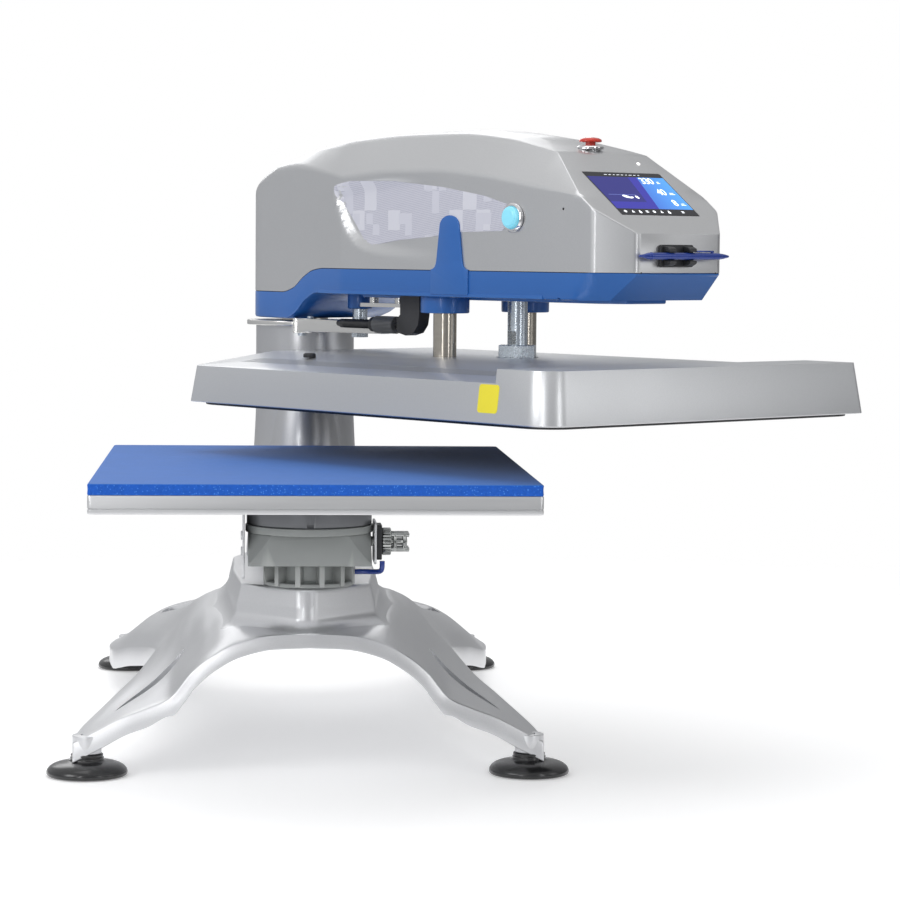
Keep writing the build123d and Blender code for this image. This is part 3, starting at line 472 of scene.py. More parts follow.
MAT = {
    "cast": material("cast_silver_paint", (0.66, 0.665, 0.68), 0.36, 0.82, var=0.035, vscale=14, bump=0.10, bscale=420, fine=0.25, wear=0.25, wear_col=(0.85, 0.85, 0.86), coat=0.12),
    "rim": material("polished_rim", (0.80, 0.80, 0.81), 0.24, 0.95, var=0.05, vscale=60, bump=0.08, bscale=700, stretch=(0.4, 1, 1), wear=0.2),
    "shell": material("shell_silver_paint", (0.60, 0.605, 0.615), 0.33, 0.85, var=0.02, vscale=9, bump=0.035, bscale=1300, fine=0.28, fscale=3800, wear=0.12, wear_col=(0.8, 0.8, 0.81), coat=0.2, coat_rough=0.08),
    "panel": material("panel_silver_film", (0.66, 0.66, 0.67), 0.42, 0.55, var=0.02, vscale=20, bump=0.03, bscale=1500, fine=0.2, fscale=3600),
    "cover": material("cover_silver_paint", (0.61, 0.62, 0.635), 0.34, 0.80, var=0.025, vscale=8, bump=0.05, bscale=1100, fine=0.28, fscale=3400, wear=0.2, wear_col=(0.85, 0.85, 0.86), coat=0.15),
    "column": material("column_satin_paint", (0.56, 0.565, 0.58), 0.30, 0.92, var=0.03, vscale=20, bump=0.04, bscale=900, fine=0.15, coat=0.1),
    "pedestal": material("pedestal_grey_enamel", (0.30, 0.315, 0.31), 0.46, 0.45, var=0.06, vscale=35, bump=0.12, bscale=650, wear=0.35, wear_col=(0.6, 0.61, 0.6)),
    "ring": material("ring_dark_enamel", (0.16, 0.165, 0.175), 0.38, 0.6, var=0.08, vscale=40, bump=0.06, bscale=700, wear=0.3, wear_col=(0.5, 0.5, 0.52)),
    "alu": material("milled_aluminium", (0.72, 0.725, 0.735), 0.34, 0.9, var=0.08, vscale=26, rvar=0.08, bump=0.12, bscale=260, stretch=(0.12, 0.12, 4.0), wear=0.3),
    "pad": material("silicone_foam_blue", (0.030, 0.155, 0.53), 0.72, 0.0, var=0.10, vscale=60, bump=0.35, bscale=1500, speck=0.16, speck_col=(0.10, 0.30, 0.78), speck_scale=520, spec=0.25, sheen=0.12, dist=0.0003),
    "padedge": material("silicone_foam_cut_edge", (0.018, 0.115, 0.55), 0.85, 0.0, var=0.22, vscale=420, bump=0.9, bscale=900, speck=0.75, speck_col=(0.10, 0.33, 0.88), speck_scale=430, spec=0.2, dist=0.0008),
    "tray": material("tray_blue_paint", (0.020, 0.135, 0.46), 0.33, 0.10, var=0.05, vscale=14, bump=0.05, bscale=1000, fine=0.10, coat=0.3, coat_rough=0.12, wear=0.10, wear_col=(0.15, 0.35, 0.75)),
    "black": material("black_moulded_plastic", (0.018, 0.019, 0.022), 0.42, 0.0, var=0.15, vscale=120, bump=0.25, bscale=1400, wear=0.25, wear_col=(0.10, 0.10, 0.11)),
    "rubber": material("black_rubber_foot", (0.012, 0.012, 0.013), 0.24, 0.0, var=0.2, vscale=60, rvar=0.08, bump=0.10, bscale=500, coat=0.35, coat_rough=0.18, wear=0.15, wear_col=(0.09, 0.09, 0.10)),
    "steel": material("turned_steel", (0.62, 0.60, 0.57), 0.24, 1.0, var=0.06, vscale=90, rvar=0.07, bump=0.10, bscale=180, stretch=(0.3, 0.3, 6), wear=0.2),
    "post": material("guide_post_steel", (0.50, 0.465, 0.41), 0.20, 1.0, var=0.12, vscale=70, rvar=0.06, bump=0.06, bscale=160, stretch=(0.5, 0.5, 5)),
    "zinc": material("zinc_plated_nut", (0.62, 0.68, 0.74), 0.27, 0.92, var=0.12, vscale=110, rvar=0.10, bump=0.10, bscale=600, wear=0.3),
    "chrome": material("chrome_plate", (0.80, 0.80, 0.81), 0.07, 1.0, var=0.02, vscale=60, rvar=0.02, bump=0.02, bscale=500),
    "darkchrome": material("nickel_handwheel", (0.42, 0.43, 0.42), 0.20, 1.0, var=0.15, vscale=160, rvar=0.08, bump=0.12, bscale=600, wear=0.5, wear_col=(0.85, 0.86, 0.85)),
    "brass": material("brass_fitting", (0.72, 0.53, 0.24), 0.28, 1.0, var=0.08, vscale=120, bump=0.06, bscale=500, wear=0.2, wear_col=(0.9, 0.8, 0.5)),
    "board": material("green_circuit_board", (0.02, 0.16, 0.06), 0.38, 0.0, var=0.25, vscale=300, bump=0.2, bscale=900, coat=0.3),
    "heater": material("black_coated_platen", (0.012, 0.012, 0.014), 0.40, 0.1, var=0.15, vscale=60, bump=0.10, bscale=700),
    "tube": material("blue_air_tube", (0.01, 0.045, 0.30), 0.20, 0.0, var=0.08, vscale=200, bump=0.03, bscale=600, coat=0.5),
    "stylus": material("stylus_blue_gloss", (0.012, 0.045, 0.30), 0.18, 0.25, var=0.05, vscale=100, bump=0.02, bscale=800, coat=0.6, coat_rough=0.05),
    "element": material("oxidised_element", (0.22, 0.16, 0.12), 0.5, 0.7, var=0.3, vscale=140, bump=0.2, bscale=700),
    "red": material("stop_red_plastic", (0.62, 0.03, 0.012), 0.24, 0.0, var=0.05, vscale=150, bump=0.03, bscale=900, coat=0.5, coat_rough=0.06),
    "glass": material("screen_glass", (0.006, 0.007, 0.010), 0.07, 0.0, var=0.05, vscale=30, rvar=0.02, coat=0.6, coat_rough=0.03),
    "groove": material("joint_shadow_gasket", (0.010, 0.011, 0.014), 0.8, 0.0, var=0.2, vscale=200, bump=0.2, bscale=900),
    "yellow": material("yellow_tag_film", (0.93, 0.80, 0.03), 0.36, 0.0, var=0.03, vscale=90, bump=0.04, bscale=900, coat=0.25),
    "orange": material("status_lamp_lens", (0.85, 0.86, 0.88), 0.15, 0.0, var=0.03, vscale=300, coat=0.6),
    "brushed": material("brushed_steel_disc", (0.74, 0.735, 0.72), 0.22, 1.0, var=0.05, vscale=30, rvar=0.07, bump=0.08, bscale=240, stretch=(1, 1, 8), wear=0.2),
}


def socket(m, name, value):
    m.node_tree.nodes["Principled BSDF"].inputs[name].default_value = value


def emissive(name, base, emit, strength, rough=0.3):
    m = material(name, base, rough, 0.0, var=0.03, vscale=200, coat=0.3)
    socket(m, "Emission Color", (*emit, 1))
    socket(m, "Emission Strength", strength)
    return m


MAT["lens"] = emissive("start_button_lens", (0.80, 0.86, 0.88), (0.80, 0.95, 1.0), 0.35, 0.25)
MAT["glow"] = emissive("start_button_glow", (0.25, 0.62, 0.75), (0.20, 0.72, 0.90), 0.35, 0.3)
MAT["digits"] = emissive("display_digits", (0.9, 0.92, 0.95), (0.9, 0.95, 1.0), 0.9, 0.3)
MAT["lamp"] = emissive("status_lamp", (0.95, 0.95, 0.95), (1.0, 0.98, 0.95), 1.2, 0.2)


def uv_material(name, draw, rough=0.3, emit=0.0, coat=0.0):
    """A material whose colour is worked out from the piece's own UVs by draw(N, L, u, v)."""
    m = bpy.data.materials.new(name)
    m.use_nodes = True
    nt = m.node_tree
    nt.nodes.clear()
    N, L = nt.nodes.new, nt.links.new
    out, b = N("ShaderNodeOutputMaterial"), N("ShaderNodeBsdfPrincipled")
    L(b.outputs[0], out.inputs[0])
    tc, sp = N("ShaderNodeTexCoord"), N("ShaderNodeSeparateXYZ")
    L(tc.outputs["UV"], sp.inputs[0])
    col = draw(nt, tc.outputs["UV"], sp.outputs[0], sp.outputs[1])
    L(col, b.inputs["Base Color"])
    b.inputs["Roughness"].default_value = rough
    b.inputs["Coat Weight"].default_value = coat
    b.inputs["Coat Roughness"].default_value = 0.05
    if emit:
        L(col, b.inputs["Emission Color"])
        b.inputs["Emission Strength"].default_value = emit
    return m


def mth(nt, op, a, b=None, c=None):
    n = nt.nodes.new("ShaderNodeMath")
    n.operation = op
    for s, q in zip(n.inputs, (a, b, c)):
        if q is None:
            continue
        if isinstance(q, (int, float)):
            s.default_value = q
        else:
            nt.links.new(q, s)
    return n.outputs[0]


def blendc(nt, fac, a, b):
    x = nt.nodes.new("ShaderNodeMix")
    x.data_type = "RGBA"
    for s, q in ((x.inputs[0], fac), (x.inputs[6], a), (x.inputs[7], b)):
        if isinstance(q, tuple):
            s.default_value = (*q, 1)
        elif isinstance(q, (int, float)):
            s.default_value = q
        else:
            nt.links.new(q, s)
    return x.outputs[2]


def draw_display(nt, uv, u, v):
    """Screen picture: black header and footer, a dark panel on the left, a blue gradient on the right. UV in 0..1."""
    grad = blendc(nt, mth(nt, "MULTIPLY_ADD", u, 1.25, -0.30), (0.016, 0.035, 0.42), (0.07, 0.33, 0.80))
    edge = mth(nt, "MULTIPLY_ADD", v, 0.13, 0.53)
    panel = mth(nt, "LESS_THAN", u, edge)
    col = blendc(nt, panel, grad, (0.018, 0.016, 0.30))
    inner = mth(nt, "MULTIPLY", mth(nt, "LESS_THAN", u, mth(nt, "MULTIPLY_ADD", v, 0.10, 0.44)), mth(nt, "GREATER_THAN", v, 0.30))
    col = blendc(nt, inner, col, (0.008, 0.009, 0.16))
    line = mth(nt, "COMPARE", v, 0.47, 0.006)
    line = mth(nt, "MULTIPLY", line, mth(nt, "MULTIPLY", mth(nt, "GREATER_THAN", u, 0.06), mth(nt, "LESS_THAN", u, 0.42)))
    col = blendc(nt, line, col, (0.10, 0.13, 0.42))
    bars = mth(nt, "MAXIMUM", mth(nt, "GREATER_THAN", v, 0.905), mth(nt, "LESS_THAN", v, 0.135))
    col = blendc(nt, bars, col, (0.002, 0.002, 0.006))
    return col


def draw_sticker(nt, uv, u, v):
    """Pale film with a halftone dot screen and scattered squares. UV in centimetres."""
    N, L = nt.nodes.new, nt.links.new
    mp = N("ShaderNodeMapping")
    mp.inputs["Rotation"].default_value = (0, 0, radians(38))
    mp.inputs["Scale"].default_value = (4.0, 4.0, 1)
    L(uv, mp.inputs[0])
    s = N("ShaderNodeSeparateXYZ")
    L(mp.outputs[0], s.inputs[0])
    a = mth(nt, "SINE", mth(nt, "MULTIPLY", s.outputs[0], 2 * pi))
    b = mth(nt, "SINE", mth(nt, "MULTIPLY", s.outputs[1], 2 * pi))
    dots = mth(nt, "GREATER_THAN", mth(nt, "MULTIPLY", a, b), 0.10)

    def squares(size, shift, share):
        m2 = N("ShaderNodeMapping")
        m2.inputs["Location"].default_value = (shift, shift * 0.7, 0)
        L(uv, m2.inputs[0])
        sn = N("ShaderNodeVectorMath")
        sn.operation = "SNAP"
        sn.inputs[1].default_value = (size, size, 1)
        L(m2.outputs[0], sn.inputs[0])
        w = N("ShaderNodeTexWhiteNoise")
        w.noise_dimensions = "2D"
        L(sn.outputs[0], w.inputs["Vector"])
        return mth(nt, "GREATER_THAN", w.outputs["Value"], 1 - share)

    col = blendc(nt, dots, (0.66, 0.66, 0.72), (0.47, 0.47, 0.56))
    col = blendc(nt, squares(2.0, 0.3, 0.20), col, (0.72, 0.72, 0.78))
    col = blendc(nt, squares(1.1, 0.9, 0.16), col, (0.67, 0.67, 0.74))
    return col


MAT["display"] = uv_material("display_picture", draw_display, 0.16, emit=0.55, coat=0.0)
MAT["sticker"] = uv_material("halftone_film", draw_sticker, 0.36, coat=0.2)

# ---------------------------------------------------------------------------
# Base casting
# ---------------------------------------------------------------------------
SECTIONS = [
    (2.0, [(0, 141), (36, 139.5), (70, 132), (95, 119.5), (115, 104), (138, 77), (160, 67), (184, 58), (210, 44.5), (232, 33)]),
    (35.0, [(0, 144), (38, 143), (75, 137), (100, 121), (118, 104), (140, 80), (162, 70), (186, 60), (210, 48), (231, 36)]),
    (100.0, [(0, 147.9), (40, 147.2), (78, 145), (100, 131), (120, 110), (140, 90), (158, 78), (174, 70), (190, 64), (206, 56)]),
    (160.0, [(0, 149.8), (40, 149), (80, 147.5), (103, 137), (122, 118), (138, 101), (152, 90), (165, 81), (178, 73), (190, 65)]),
    (240.0, [(0, 151), (40, 150.3), (84, 149), (104, 142), (120, 131), (133, 118), (145, 104), (156, 93.6), (165, 84), (174, 71)]),
    (330.0, [(0, 151), (40, 150.2), (86, 148), (102, 143), (115, 136), (126, 126), (137, 113), (146, 102), (154, 92), (161, 76)]),
    (400.0, [(0, 144), (40, 143.2), (87, 140), (103, 135), (118, 128), (132, 118), (144, 106), (153, 96), (161, 86), (168, 72)]),
    (500.0, [(0, 126), (40, 125), (89, 122), (107, 119), (125, 114), (145, 107), (163, 96), (176, 86), (187, 75), (196, 59)]),
    (600.0, [(0, 112), (40, 111), (80, 108), (105, 105), (130, 101), (155, 94), (175, 84), (192, 71), (208, 57), (221, 42)]),
    (700.0, [(0, 106), (36, 104), (70, 98), (100, 90), (128, 80), (155, 70), (178, 62), (198, 53), (215, 45), (229, 36)]),
    (767.0, [(0, 104), (35, 102), (70, 94), (98, 79), (122, 64), (148, 55), (170, 49), (190, 44), (208, 38.5), (225, 33)]),
]
SEC_Y = np.array([s[0] for s in SECTIONS])
SEC_P = np.array([s[1] for s in SECTIONS], float)          # (rows, 10, 2)
T_HALF = np.linspace(0, 9, 73)
_fine = np.array([np.column_stack((pchip(np.arange(10), p[:, 0], T_HALF), pchip(np.arange(10), p[:, 1], T_HALF))) for p in SEC_P])


def saddle(y):
    """(x, z) of the top surface at every column for each depth in y, shape (len(y), 73, 2)."""
    y = np.atleast_1d(y)
    f = _fine.reshape(len(SEC_Y), -1)
    return pchip(SEC_Y, f, np.clip(y, 2, 767)).reshape(len(y), len(T_HALF), 2)


def saddle_z(x, y):
    row = saddle(np.array([y]))[0]
    return float(np.interp(abs(x), row[:, 0], row[:, 1]))


def make_legs():
    rows, cols = 66, len(T_HALF)
    yend = np.full(cols, 767.0)
    for _ in range(12):
        xe = np.array([pchip(SEC_Y, _fine[:, j, 0], np.array([min(yend[j], 767.0)]))[0] for j in range(cols)])
        arc = 800 - 250 * np.sqrt(np.clip(1 - (xe / 158.0) ** 2, 0, 1))
        yend = np.where(xe < 157.9, np.minimum(arc, 767.0), 767.0)
    s = np.linspace(0, 1, rows) ** 1.15
    top = np.zeros((rows, cols, 3))
    for j in range(cols):
        yy = 2 + s * (yend[j] - 2)
        p = pchip(SEC_Y, _fine[:, j, :], yy)
        top[:, j, 0], top[:, j, 1], top[:, j, 2] = p[:, 0], yy, p[:, 1]
    slope = np.gradient(top[:, :, 2], axis=1) / np.maximum(np.abs(np.gradient(top[:, :, 0], axis=1)), 0.2)
    th = 14 * np.minimum(1.55, np.sqrt(1 + slope ** 2))
    th[0:4] = th[0:4] * (1 + 0.22 * smooth(140, 158, top[0:4, :, 0]))
    low = top.copy()
    low[:, :, 2] -= th
    top[0, :, 1] += 3.2
    top[1, :, 1] = np.maximum(top[1, :, 1], 8.0)
    low[0, :, 2] += 0.0
    full = lambda g: np.concatenate((g[:, :0:-1] * np.array((-1, 1, 1)), g), axis=1)
    T, B = full(top), full(low)
    R, C = T.shape[:2]
    V = np.concatenate((T.reshape(-1, 3), B.reshape(-1, 3)))
    o = R * C
    F, mi = [], []
    for r in range(R - 1):
        for c in range(C - 1):
            a = r * C + c
            F.append((a, a + 1, a + C + 1, a + C))
            F.append((o + a, o + a + C, o + a + C + 1, o + a + 1))
            mi += [0, 0]
    for c in range(C - 1):
        F.append((c, o + c, o + c + 1, c + 1))
        mi.append(1)
        a = (R - 1) * C + c
        F.append((a, a + 1, o + a + 1, o + a))
        mi.append(0)
    for r in range(R - 1):
        a = r * C
        F.append((a, a + C, o + a + C, o + a))
        a += C - 1
        F.append((a, o + a, o + a + C, a + C))
        mi += [0, 0]
    ob = build("base_legs", mach(V), F, "root", [MAT["cast"], MAT["rim"]], merge=1e-3, sharp=40)
    # the front rim is machined bright
    me = ob.data
    for p in me.polygons:
        if p.normal.y < -0.85 and min(me.vertices[i].co.y for i in p.vertices) < (OY + 3.0) * 0.001:
            p.material_index = 1
    bev(ob, 2.0, 3, 42, sharp=40)
    return ob


legs = make_legs()


def pocket(name, outline, depth, lift=30.0):
    """Cutter for a recess: a pointed outline whose floor follows the saddle."""
    n = len(outline)
    top = [(x, y, saddle_z(x, y) + lift) for x, y in outline]
    bot = [(x, y, saddle_z(x, y) - d) for (x, y), d in zip(outline, depth)]
    V = top + bot
    F = [list(range(n))]
    F.append([n + i for i in range(n)][::-1])
    for i in range(n):
        j = (i + 1) % n
        F.append((i, n + i, n + j, j))
    ob = build(name, mach(V), F, None, MAT["cast"], sharp=30)
    bm = bmesh.new()
    bm.from_mesh(ob.data)
    bmesh.ops.triangulate(bm, faces=[f for f in bm.faces if len(f.verts) > 4])
    bmesh.ops.recalc_face_normals(bm, faces=bm.faces)
    bm.to_mesh(ob.data)
    bm.free()
    return ob


def leg_frame(cx, cy, rot, pts):
    a = radians(rot)
    return [(cx + p * cos(a) - q * sin(a), cy + p * sin(a) + q * cos(a)) for p, q in pts]


cutters = []
for sx in (-1, 1):
    # front pocket: pointed towards the foot, rounded at the crown
    loc = [(-56, 0), (-42, -3.6), (-24, -6.6), (-4, -8.2), (16, -8.4), (34, -7.0), (47, -3.6), (52, 0.6), (47, 4.6), (34, 7.2), (16, 7.4), (-4, 5.8), (-24, 3.6), (-42, 1.6)]
    dep = [0.6, 6, 9.5, 10.5, 10.5, 8.0, 4.0, 1.0, 4.0, 8.0, 10.5, 10.5, 9.5, 6]
    o = leg_frame(158, 92, -52 + 180, loc)
    cutters.append(pocket("front_pocket", [(sx * x, y) for x, y in o], dep))
    # rear pocket: a slim parallelogram
    loc = [(-76, -5.5), (70, -6.5), (76, 6.5), (-68, 5.5)]
    loc = [np.array(p) for p in loc]
    loc = [tuple(p) for p in fillet2(loc, 2.5, 3)]
    o = leg_frame(139, 458, 76, loc)
    cutters.append(pocket("rear_pocket", [(sx * x, y) for x, y in o], [9.5] * len(o)))
cut(legs, cutters, sharp=40)
tidy(legs, 40)

# faceted tower with a soft nose, flared into the saddle
TB = [(-3, 2), (76, 74), (86, 205), (84, 330), (70, 412), (-76, 412), (-90, 330), (-92, 205), (-82, 74)]
TT = [(-3, 20), (62, 80), (71, 205), (71, 330), (52, 400), (-58, 400), (-77, 330), (-77, 205), (-68, 80)]
RAD = [17, 7, 14, 14, 10, 10, 14, 14, 7]


def tower_ring(f):
    p = [(a[0] + (b[0] - a[0]) * f, a[1] + (b[1] - a[1]) * f) for a, b in zip(TB, TT)]
    return fillet2(p, RAD, 10)


def make_tower():
    loops = []
    for d, z in ((2.6, 183.0), (1.2, 182.6), (0.35, 181.9), (0.0, 180.6)):
        q = tower_ring((z - 128) / 55)
        q = inset(q, d) if d else q
        loops.append(np.column_stack((q, np.full(len(q), z))))
    for z in np.linspace(177, 163, 5):
        q = tower_ring((z - 128) / 55)
        loops.append(np.column_stack((q, np.full(len(q), z))))
    R = 12.0
    for k in range(9):
        a = pi / 2 * k / 8
        f0 = (150 + R * (1 - sin(a)) - 128) / 55
        q = tower_ring(f0)
        q = inset(q, -R * (1 - cos(a)))
        q[:, 1] = np.maximum(q[:, 1], 5.4)
        z = np.array([saddle_z(x, y) for x, y in q]) + R * (1 - sin(a)) + 0.15
        fr = smooth(26, 5, q[:, 1])
        z = z - fr * 0.35 * R * (1 - sin(a))
        loops.append(np.column_stack((q, z)))
    q = loops[-1].copy()
    q[:, :2] = inset(q[:, :2], 1.5)
    q[:, 2] -= 7
    loops.append(q)
    return rings("base_tower", loops[::-1], "root", MAT["cast"], mach, sharp=50)


tower = make_tower()
slot_tool = prism("slot_tool", rrect(30.4, 182, 0.6, 3, 0, 181), 174, 190, None, MAT["cast"], mach)
slot_tool2 = prism("slot_tool2", rrect(52.4, 182, 0.6, 3, 0, 181), 165, 177.2, None, MAT["cast"], mach)
cut(tower, [slot_tool, slot_tool2], sharp=45)
tidy(tower, 45)

# bosses over the feet
FEET = {"foot_fl": (-218.3, 17.3, "foot_front_left"), "foot_fr": (218.3, 17.3, "foot_front_right"),
        "foot_rl": (-205.7, 752.2, "foot_rear_left"), "foot_rr": (205.7, 752.2, "foot_rear_right")}
bosses = []
for key, (x, y, node) in FEET.items():
    at = lambda p, x=x, y=y: mach(np.atleast_2d(np.asarray(p, float)) + np.array((x, y, 0)))
    bosses.append(lathe("boss", rp([(6.2, 21.9), (14.2, 21.9), (14.6, 40), (6.2, 40)], 0.8) + [(6.2, 21.9)][:0], "root", MAT["cast"], at, 72))
    foot = lathe("levelling_" + key, [(0, 0), (33, 0), (37.6, 0.35), (39.3, 1.2), (39.9, 2.6), (39.9, 4.2), (39.2, 6.2), (37.3, 8.6), (34.2, 10.7), (30.0, 12.3), (25, 13.4), (20.2, 14.1), (18.0, 14.6),
                                      (17.0, 15.4), (16.6, 16.4), (16.6, 17.8), (15.6, 18.3), (15.4, 18.9), (15.9, 19.4), (15.9, 20.8), (15.2, 21.5), (6.0, 21.6), (6.0, 34.6), (5.2, 35.4), (0, 35.4)],
                 key, MAT["rubber"], at, 96, sharp=40)
    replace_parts(foot, node)
base = join([legs, tower] + bosses, "base_casting_body")
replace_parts(base, "base_casting")

# ---------------------------------------------------------------------------
# Column with a flared foot and a front apron, swing disc
# ---------------------------------------------------------------------------
col_at = lambda p: mach(np.atleast_2d(np.asarray(p, float)) + np.array((0, SWING_Y, 0)))
prof = [(40, 150.3), (40.8, 150.3), (40.8, 183.4), (62.4, 183.4), (63.0, 184.0), (63.0, 190)]
zz = np.linspace(200, 345, 14)
prof += [(53.3 + 9.7 * ((345 - z) / 155.0) ** 1.25 * (1 if z > 190 else 1), z) for z in zz]
prof += [(53.3, 350), (53.3, 400), (53.3, 434.8), (52.6, 435.5), (40, 435.5)]
column = lathe("column_body", prof, "root", MAT["column"], col_at, 144, sharp=40)
apr = lambda p: mach(np.atleast_2d(np.asarray(p, float)) + np.array((0, SWING_Y - 22, 0)))
apron = lathe("apron", [(0, 183.6), (47.5, 183.6), (49.0, 185), (46.6, 240), (43.3, 290), (39.4, 325), (35.4, 360), (30.6, 395), (27, 420), (0, 420)], "root", MAT["column"], apr, 144, sharp=40)
core = prism("core", rrect(200, 200, 1, 1, 0, 0), 150, 440, None, MAT["column"], lambda p: col_at(np.atleast_2d(np.asarray(p, float)) + np.array((0, 80, 0))))
cut(apron, core, sharp=40)
tidy(apron, 40)
column = join([column, apron], "column_body")
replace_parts(column, "column")
disc = lathe("swing_disc_plate", rp([(27.5, 435.8), (63.2, 435.8), (63.2, 441.0), (27.5, 441.0)], 0.7) , "root", MAT["brushed"], col_at, 144)
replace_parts(disc, "swing_disc")

# ---------------------------------------------------------------------------
# Lower platen and foam pad
# ---------------------------------------------------------------------------
PAD_TOP, PAD_T, PLATEN_T = 309.64, 10.2, 17.1


def rr_stack(name, lx, ly, r, steps, body, mat, to, n=10, sharp=32, cx=0.0, cy=0.0):
    loops = []
    for d, z in steps:
        q = rrect(lx - 2 * d, ly - 2 * d, max(r - d, 0.3), n, cx, cy)
        loops.append(np.column_stack((q, np.full(len(q), z))))
    return rings(name, loops, body, mat, to, sharp=sharp)


z0 = PAD_TOP - PAD_T - PLATEN_T
platen = rr_stack("lower_platen_plate", 406.4, 508.0, 3.2,
                  [(1.0, z0), (0.25, z0 + 0.35), (0.0, z0 + 1.0), (0.0, z0 + 4.2), (0.25, z0 + 4.4), (0.9, z0 + 4.5), (0.9, z0 + 5.1), (0.25, z0 + 5.2), (0, z0 + 5.4),
                   (0.0, z0 + 15.9), (0.3, z0 + 16.7), (1.0, z0 + 17.1)], "carriage", MAT["alu"], mach)
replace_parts(platen, "lower_platen")


def make_pad():
    """Die-cut foam: flat where it meets the platen, softly rolled top edge, faint crown and ripple."""
    lx, ly, r = 406.4, 508.0, 3.0
    z0, z1 = PAD_TOP - PAD_T, PAD_TOP
    loops = []
    m = 120
    for d, z in ((0.6, z0), (0.12, z0 + 0.35), (0.05, z0 + 1.2), (0.22, z0 + 3.4), (0.34, z0 + 5.2), (0.22, z0 + 7.2), (0.05, z1 - 1.7), (0.0, z1 - 1.3), (0.25, z1 - 0.62), (0.75, z1 - 0.24), (1.6, z1 - 0.08)):
        q = rrect(lx - 2 * d, ly - 2 * d, max(r - d, 0.5), 5)
        # even spacing round the outline
        seg = np.linalg.norm(np.roll(q, -1, 0) - q, axis=1)
        s = np.concatenate(([0], np.cumsum(seg)))
        want = np.linspace(0, s[-1], m * 4, endpoint=False)
        qq = np.concatenate((q, q[:1]))
        loops.append(np.column_stack((np.interp(want, s, qq[:, 0]), np.interp(want, s, qq[:, 1]), np.full(len(want), z))))
    rng = np.random.RandomState(7)
    wob = rng.normal(0, 0.05, (len(loops), m * 4))
    for k in range(2, 8):
        nrm = loops[k][:, :2] / np.linalg.norm(loops[k][:, :2], axis=1, keepdims=True)
        loops[k][:, :2] -= nrm * np.abs(np.convolve(wob[k], np.ones(5) / 5, "same"))[:, None]
    # concentric rings towards the middle, kept flat to a tenth of a millimetre
    for f in (0.985, 0.96, 0.92, 0.85, 0.75, 0.6, 0.42, 0.22, 0.06):
        q = loops[10].copy()
        q[:, :2] *= f
        q[:, 2] = z1 - 0.08 + 0.07 * (1 - f ** 6)
        loops.append(q)
    ob = rings("foam_pad", loops, "carriage", [MAT["pad"], MAT["padedge"]], mach, sharp=50)
    for p in ob.data.polygons:
        if abs(p.normal.z) < 0.45:
            p.material_index = 1
    return ob


pad = make_pad()
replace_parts(pad, "silicone_pad")

# ---------------------------------------------------------------------------
# Pedestal: hub with ribs, bell block, rings, side plates, lock
# ---------------------------------------------------------------------------
PED_Y, KNOB_Z = 72.0, 226.0
ped = lambda p: mach(np.atleast_2d(np.asarray(p, float)) + np.array((0, PED_Y, 0)))
block = lathe("block", [(0, 205.9), (79.6, 205.9), (80.2, 206.6), (76.2, 211.5), (72.2, 217.5), (68.6, 223.5), (65.6, 229.5), (63.2, 235.0), (62.6, 236.1), (0, 236.1)],
              "carriage", MAT["pedestal"], ped, 120)
sleeve = prism("sleeve", rrect(122.4, 100.0, 3.0, 4), 195, 250, None, MAT["pedestal"], ped)
cut(block, sleeve, "INTERSECT")
tidy(block)
bev(block, 0.9, 2, 28)
block.name = "pedestal_bell"
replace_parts(block, "pedestal_block")

parts = [lathe("h0", rp([(0, 183.3), (45.5, 183.3), (45.5, 187.3), (37.5, 187.8), (35.6, 190), (35.6, 205.8), (0, 205.8)], 0.8), "carriage", MAT["pedestal"], ped, 96)]
for k in range(12):
    a = 2 * pi * (k + 0.5) / 12 - pi / 2
    to = axes(ped((0, 0, 0))[0], (cos(a), sin(a), 0), (-sin(a), cos(a), 0), UP)
    parts.append(prism("rib", [(33, -3.2), (46.5, -2.6), (46.5, 2.6), (33, 3.2)], 184, 205.7, "carriage", MAT["cast"], to, 0.8, 2))
parts.append(prism("arm", rrect(58, 204, 4, 5, 0, 174), 183.3, 189.4, "carriage", MAT["pedestal"], mach, 0.9, 2))
parts.append(prism("key", rrect(30, 60, 1, 3, 0, 241), 176.9, 183.4, "carriage", MAT["alu"], mach, 0.3, 1))
parts.append(prism("key2", rrect(52, 60, 1, 3, 0, 241), 165.3, 176.9, "carriage", MAT["alu"], mach, 0.6, 1))
hub = join(parts, "pedestal_hub_body")
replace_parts(hub, "pedestal_hub")

ring1 = lathe("index_ring_body", rp([(0, 236.3), (63.9, 236.3), (63.9, 243.7), (0, 243.7)], 0.9), "carriage", MAT["pedestal"], ped, 144)
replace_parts(ring1, "index_ring")
ring2 = lathe("swivel_ring_body", rp([(0, 244.0), (61.4, 244.0), (61.4, 244.9), (62.6, 244.9), (62.6, 262), (61.9, 262.4), (61.9, 263.4), (62.6, 263.8), (62.6, 282.2), (0, 282.2)], 0.4), "carriage", MAT["ring"], ped, 144)
notch = prism("notch", [(-3.4, -66), (3.4, -66), (3.4, -58), (-3.4, -58)], 243.4, 248.0, None, MAT["ring"], ped)
cut(ring2, notch)
tidy(ring2)
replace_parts(ring2, "swivel_ring")

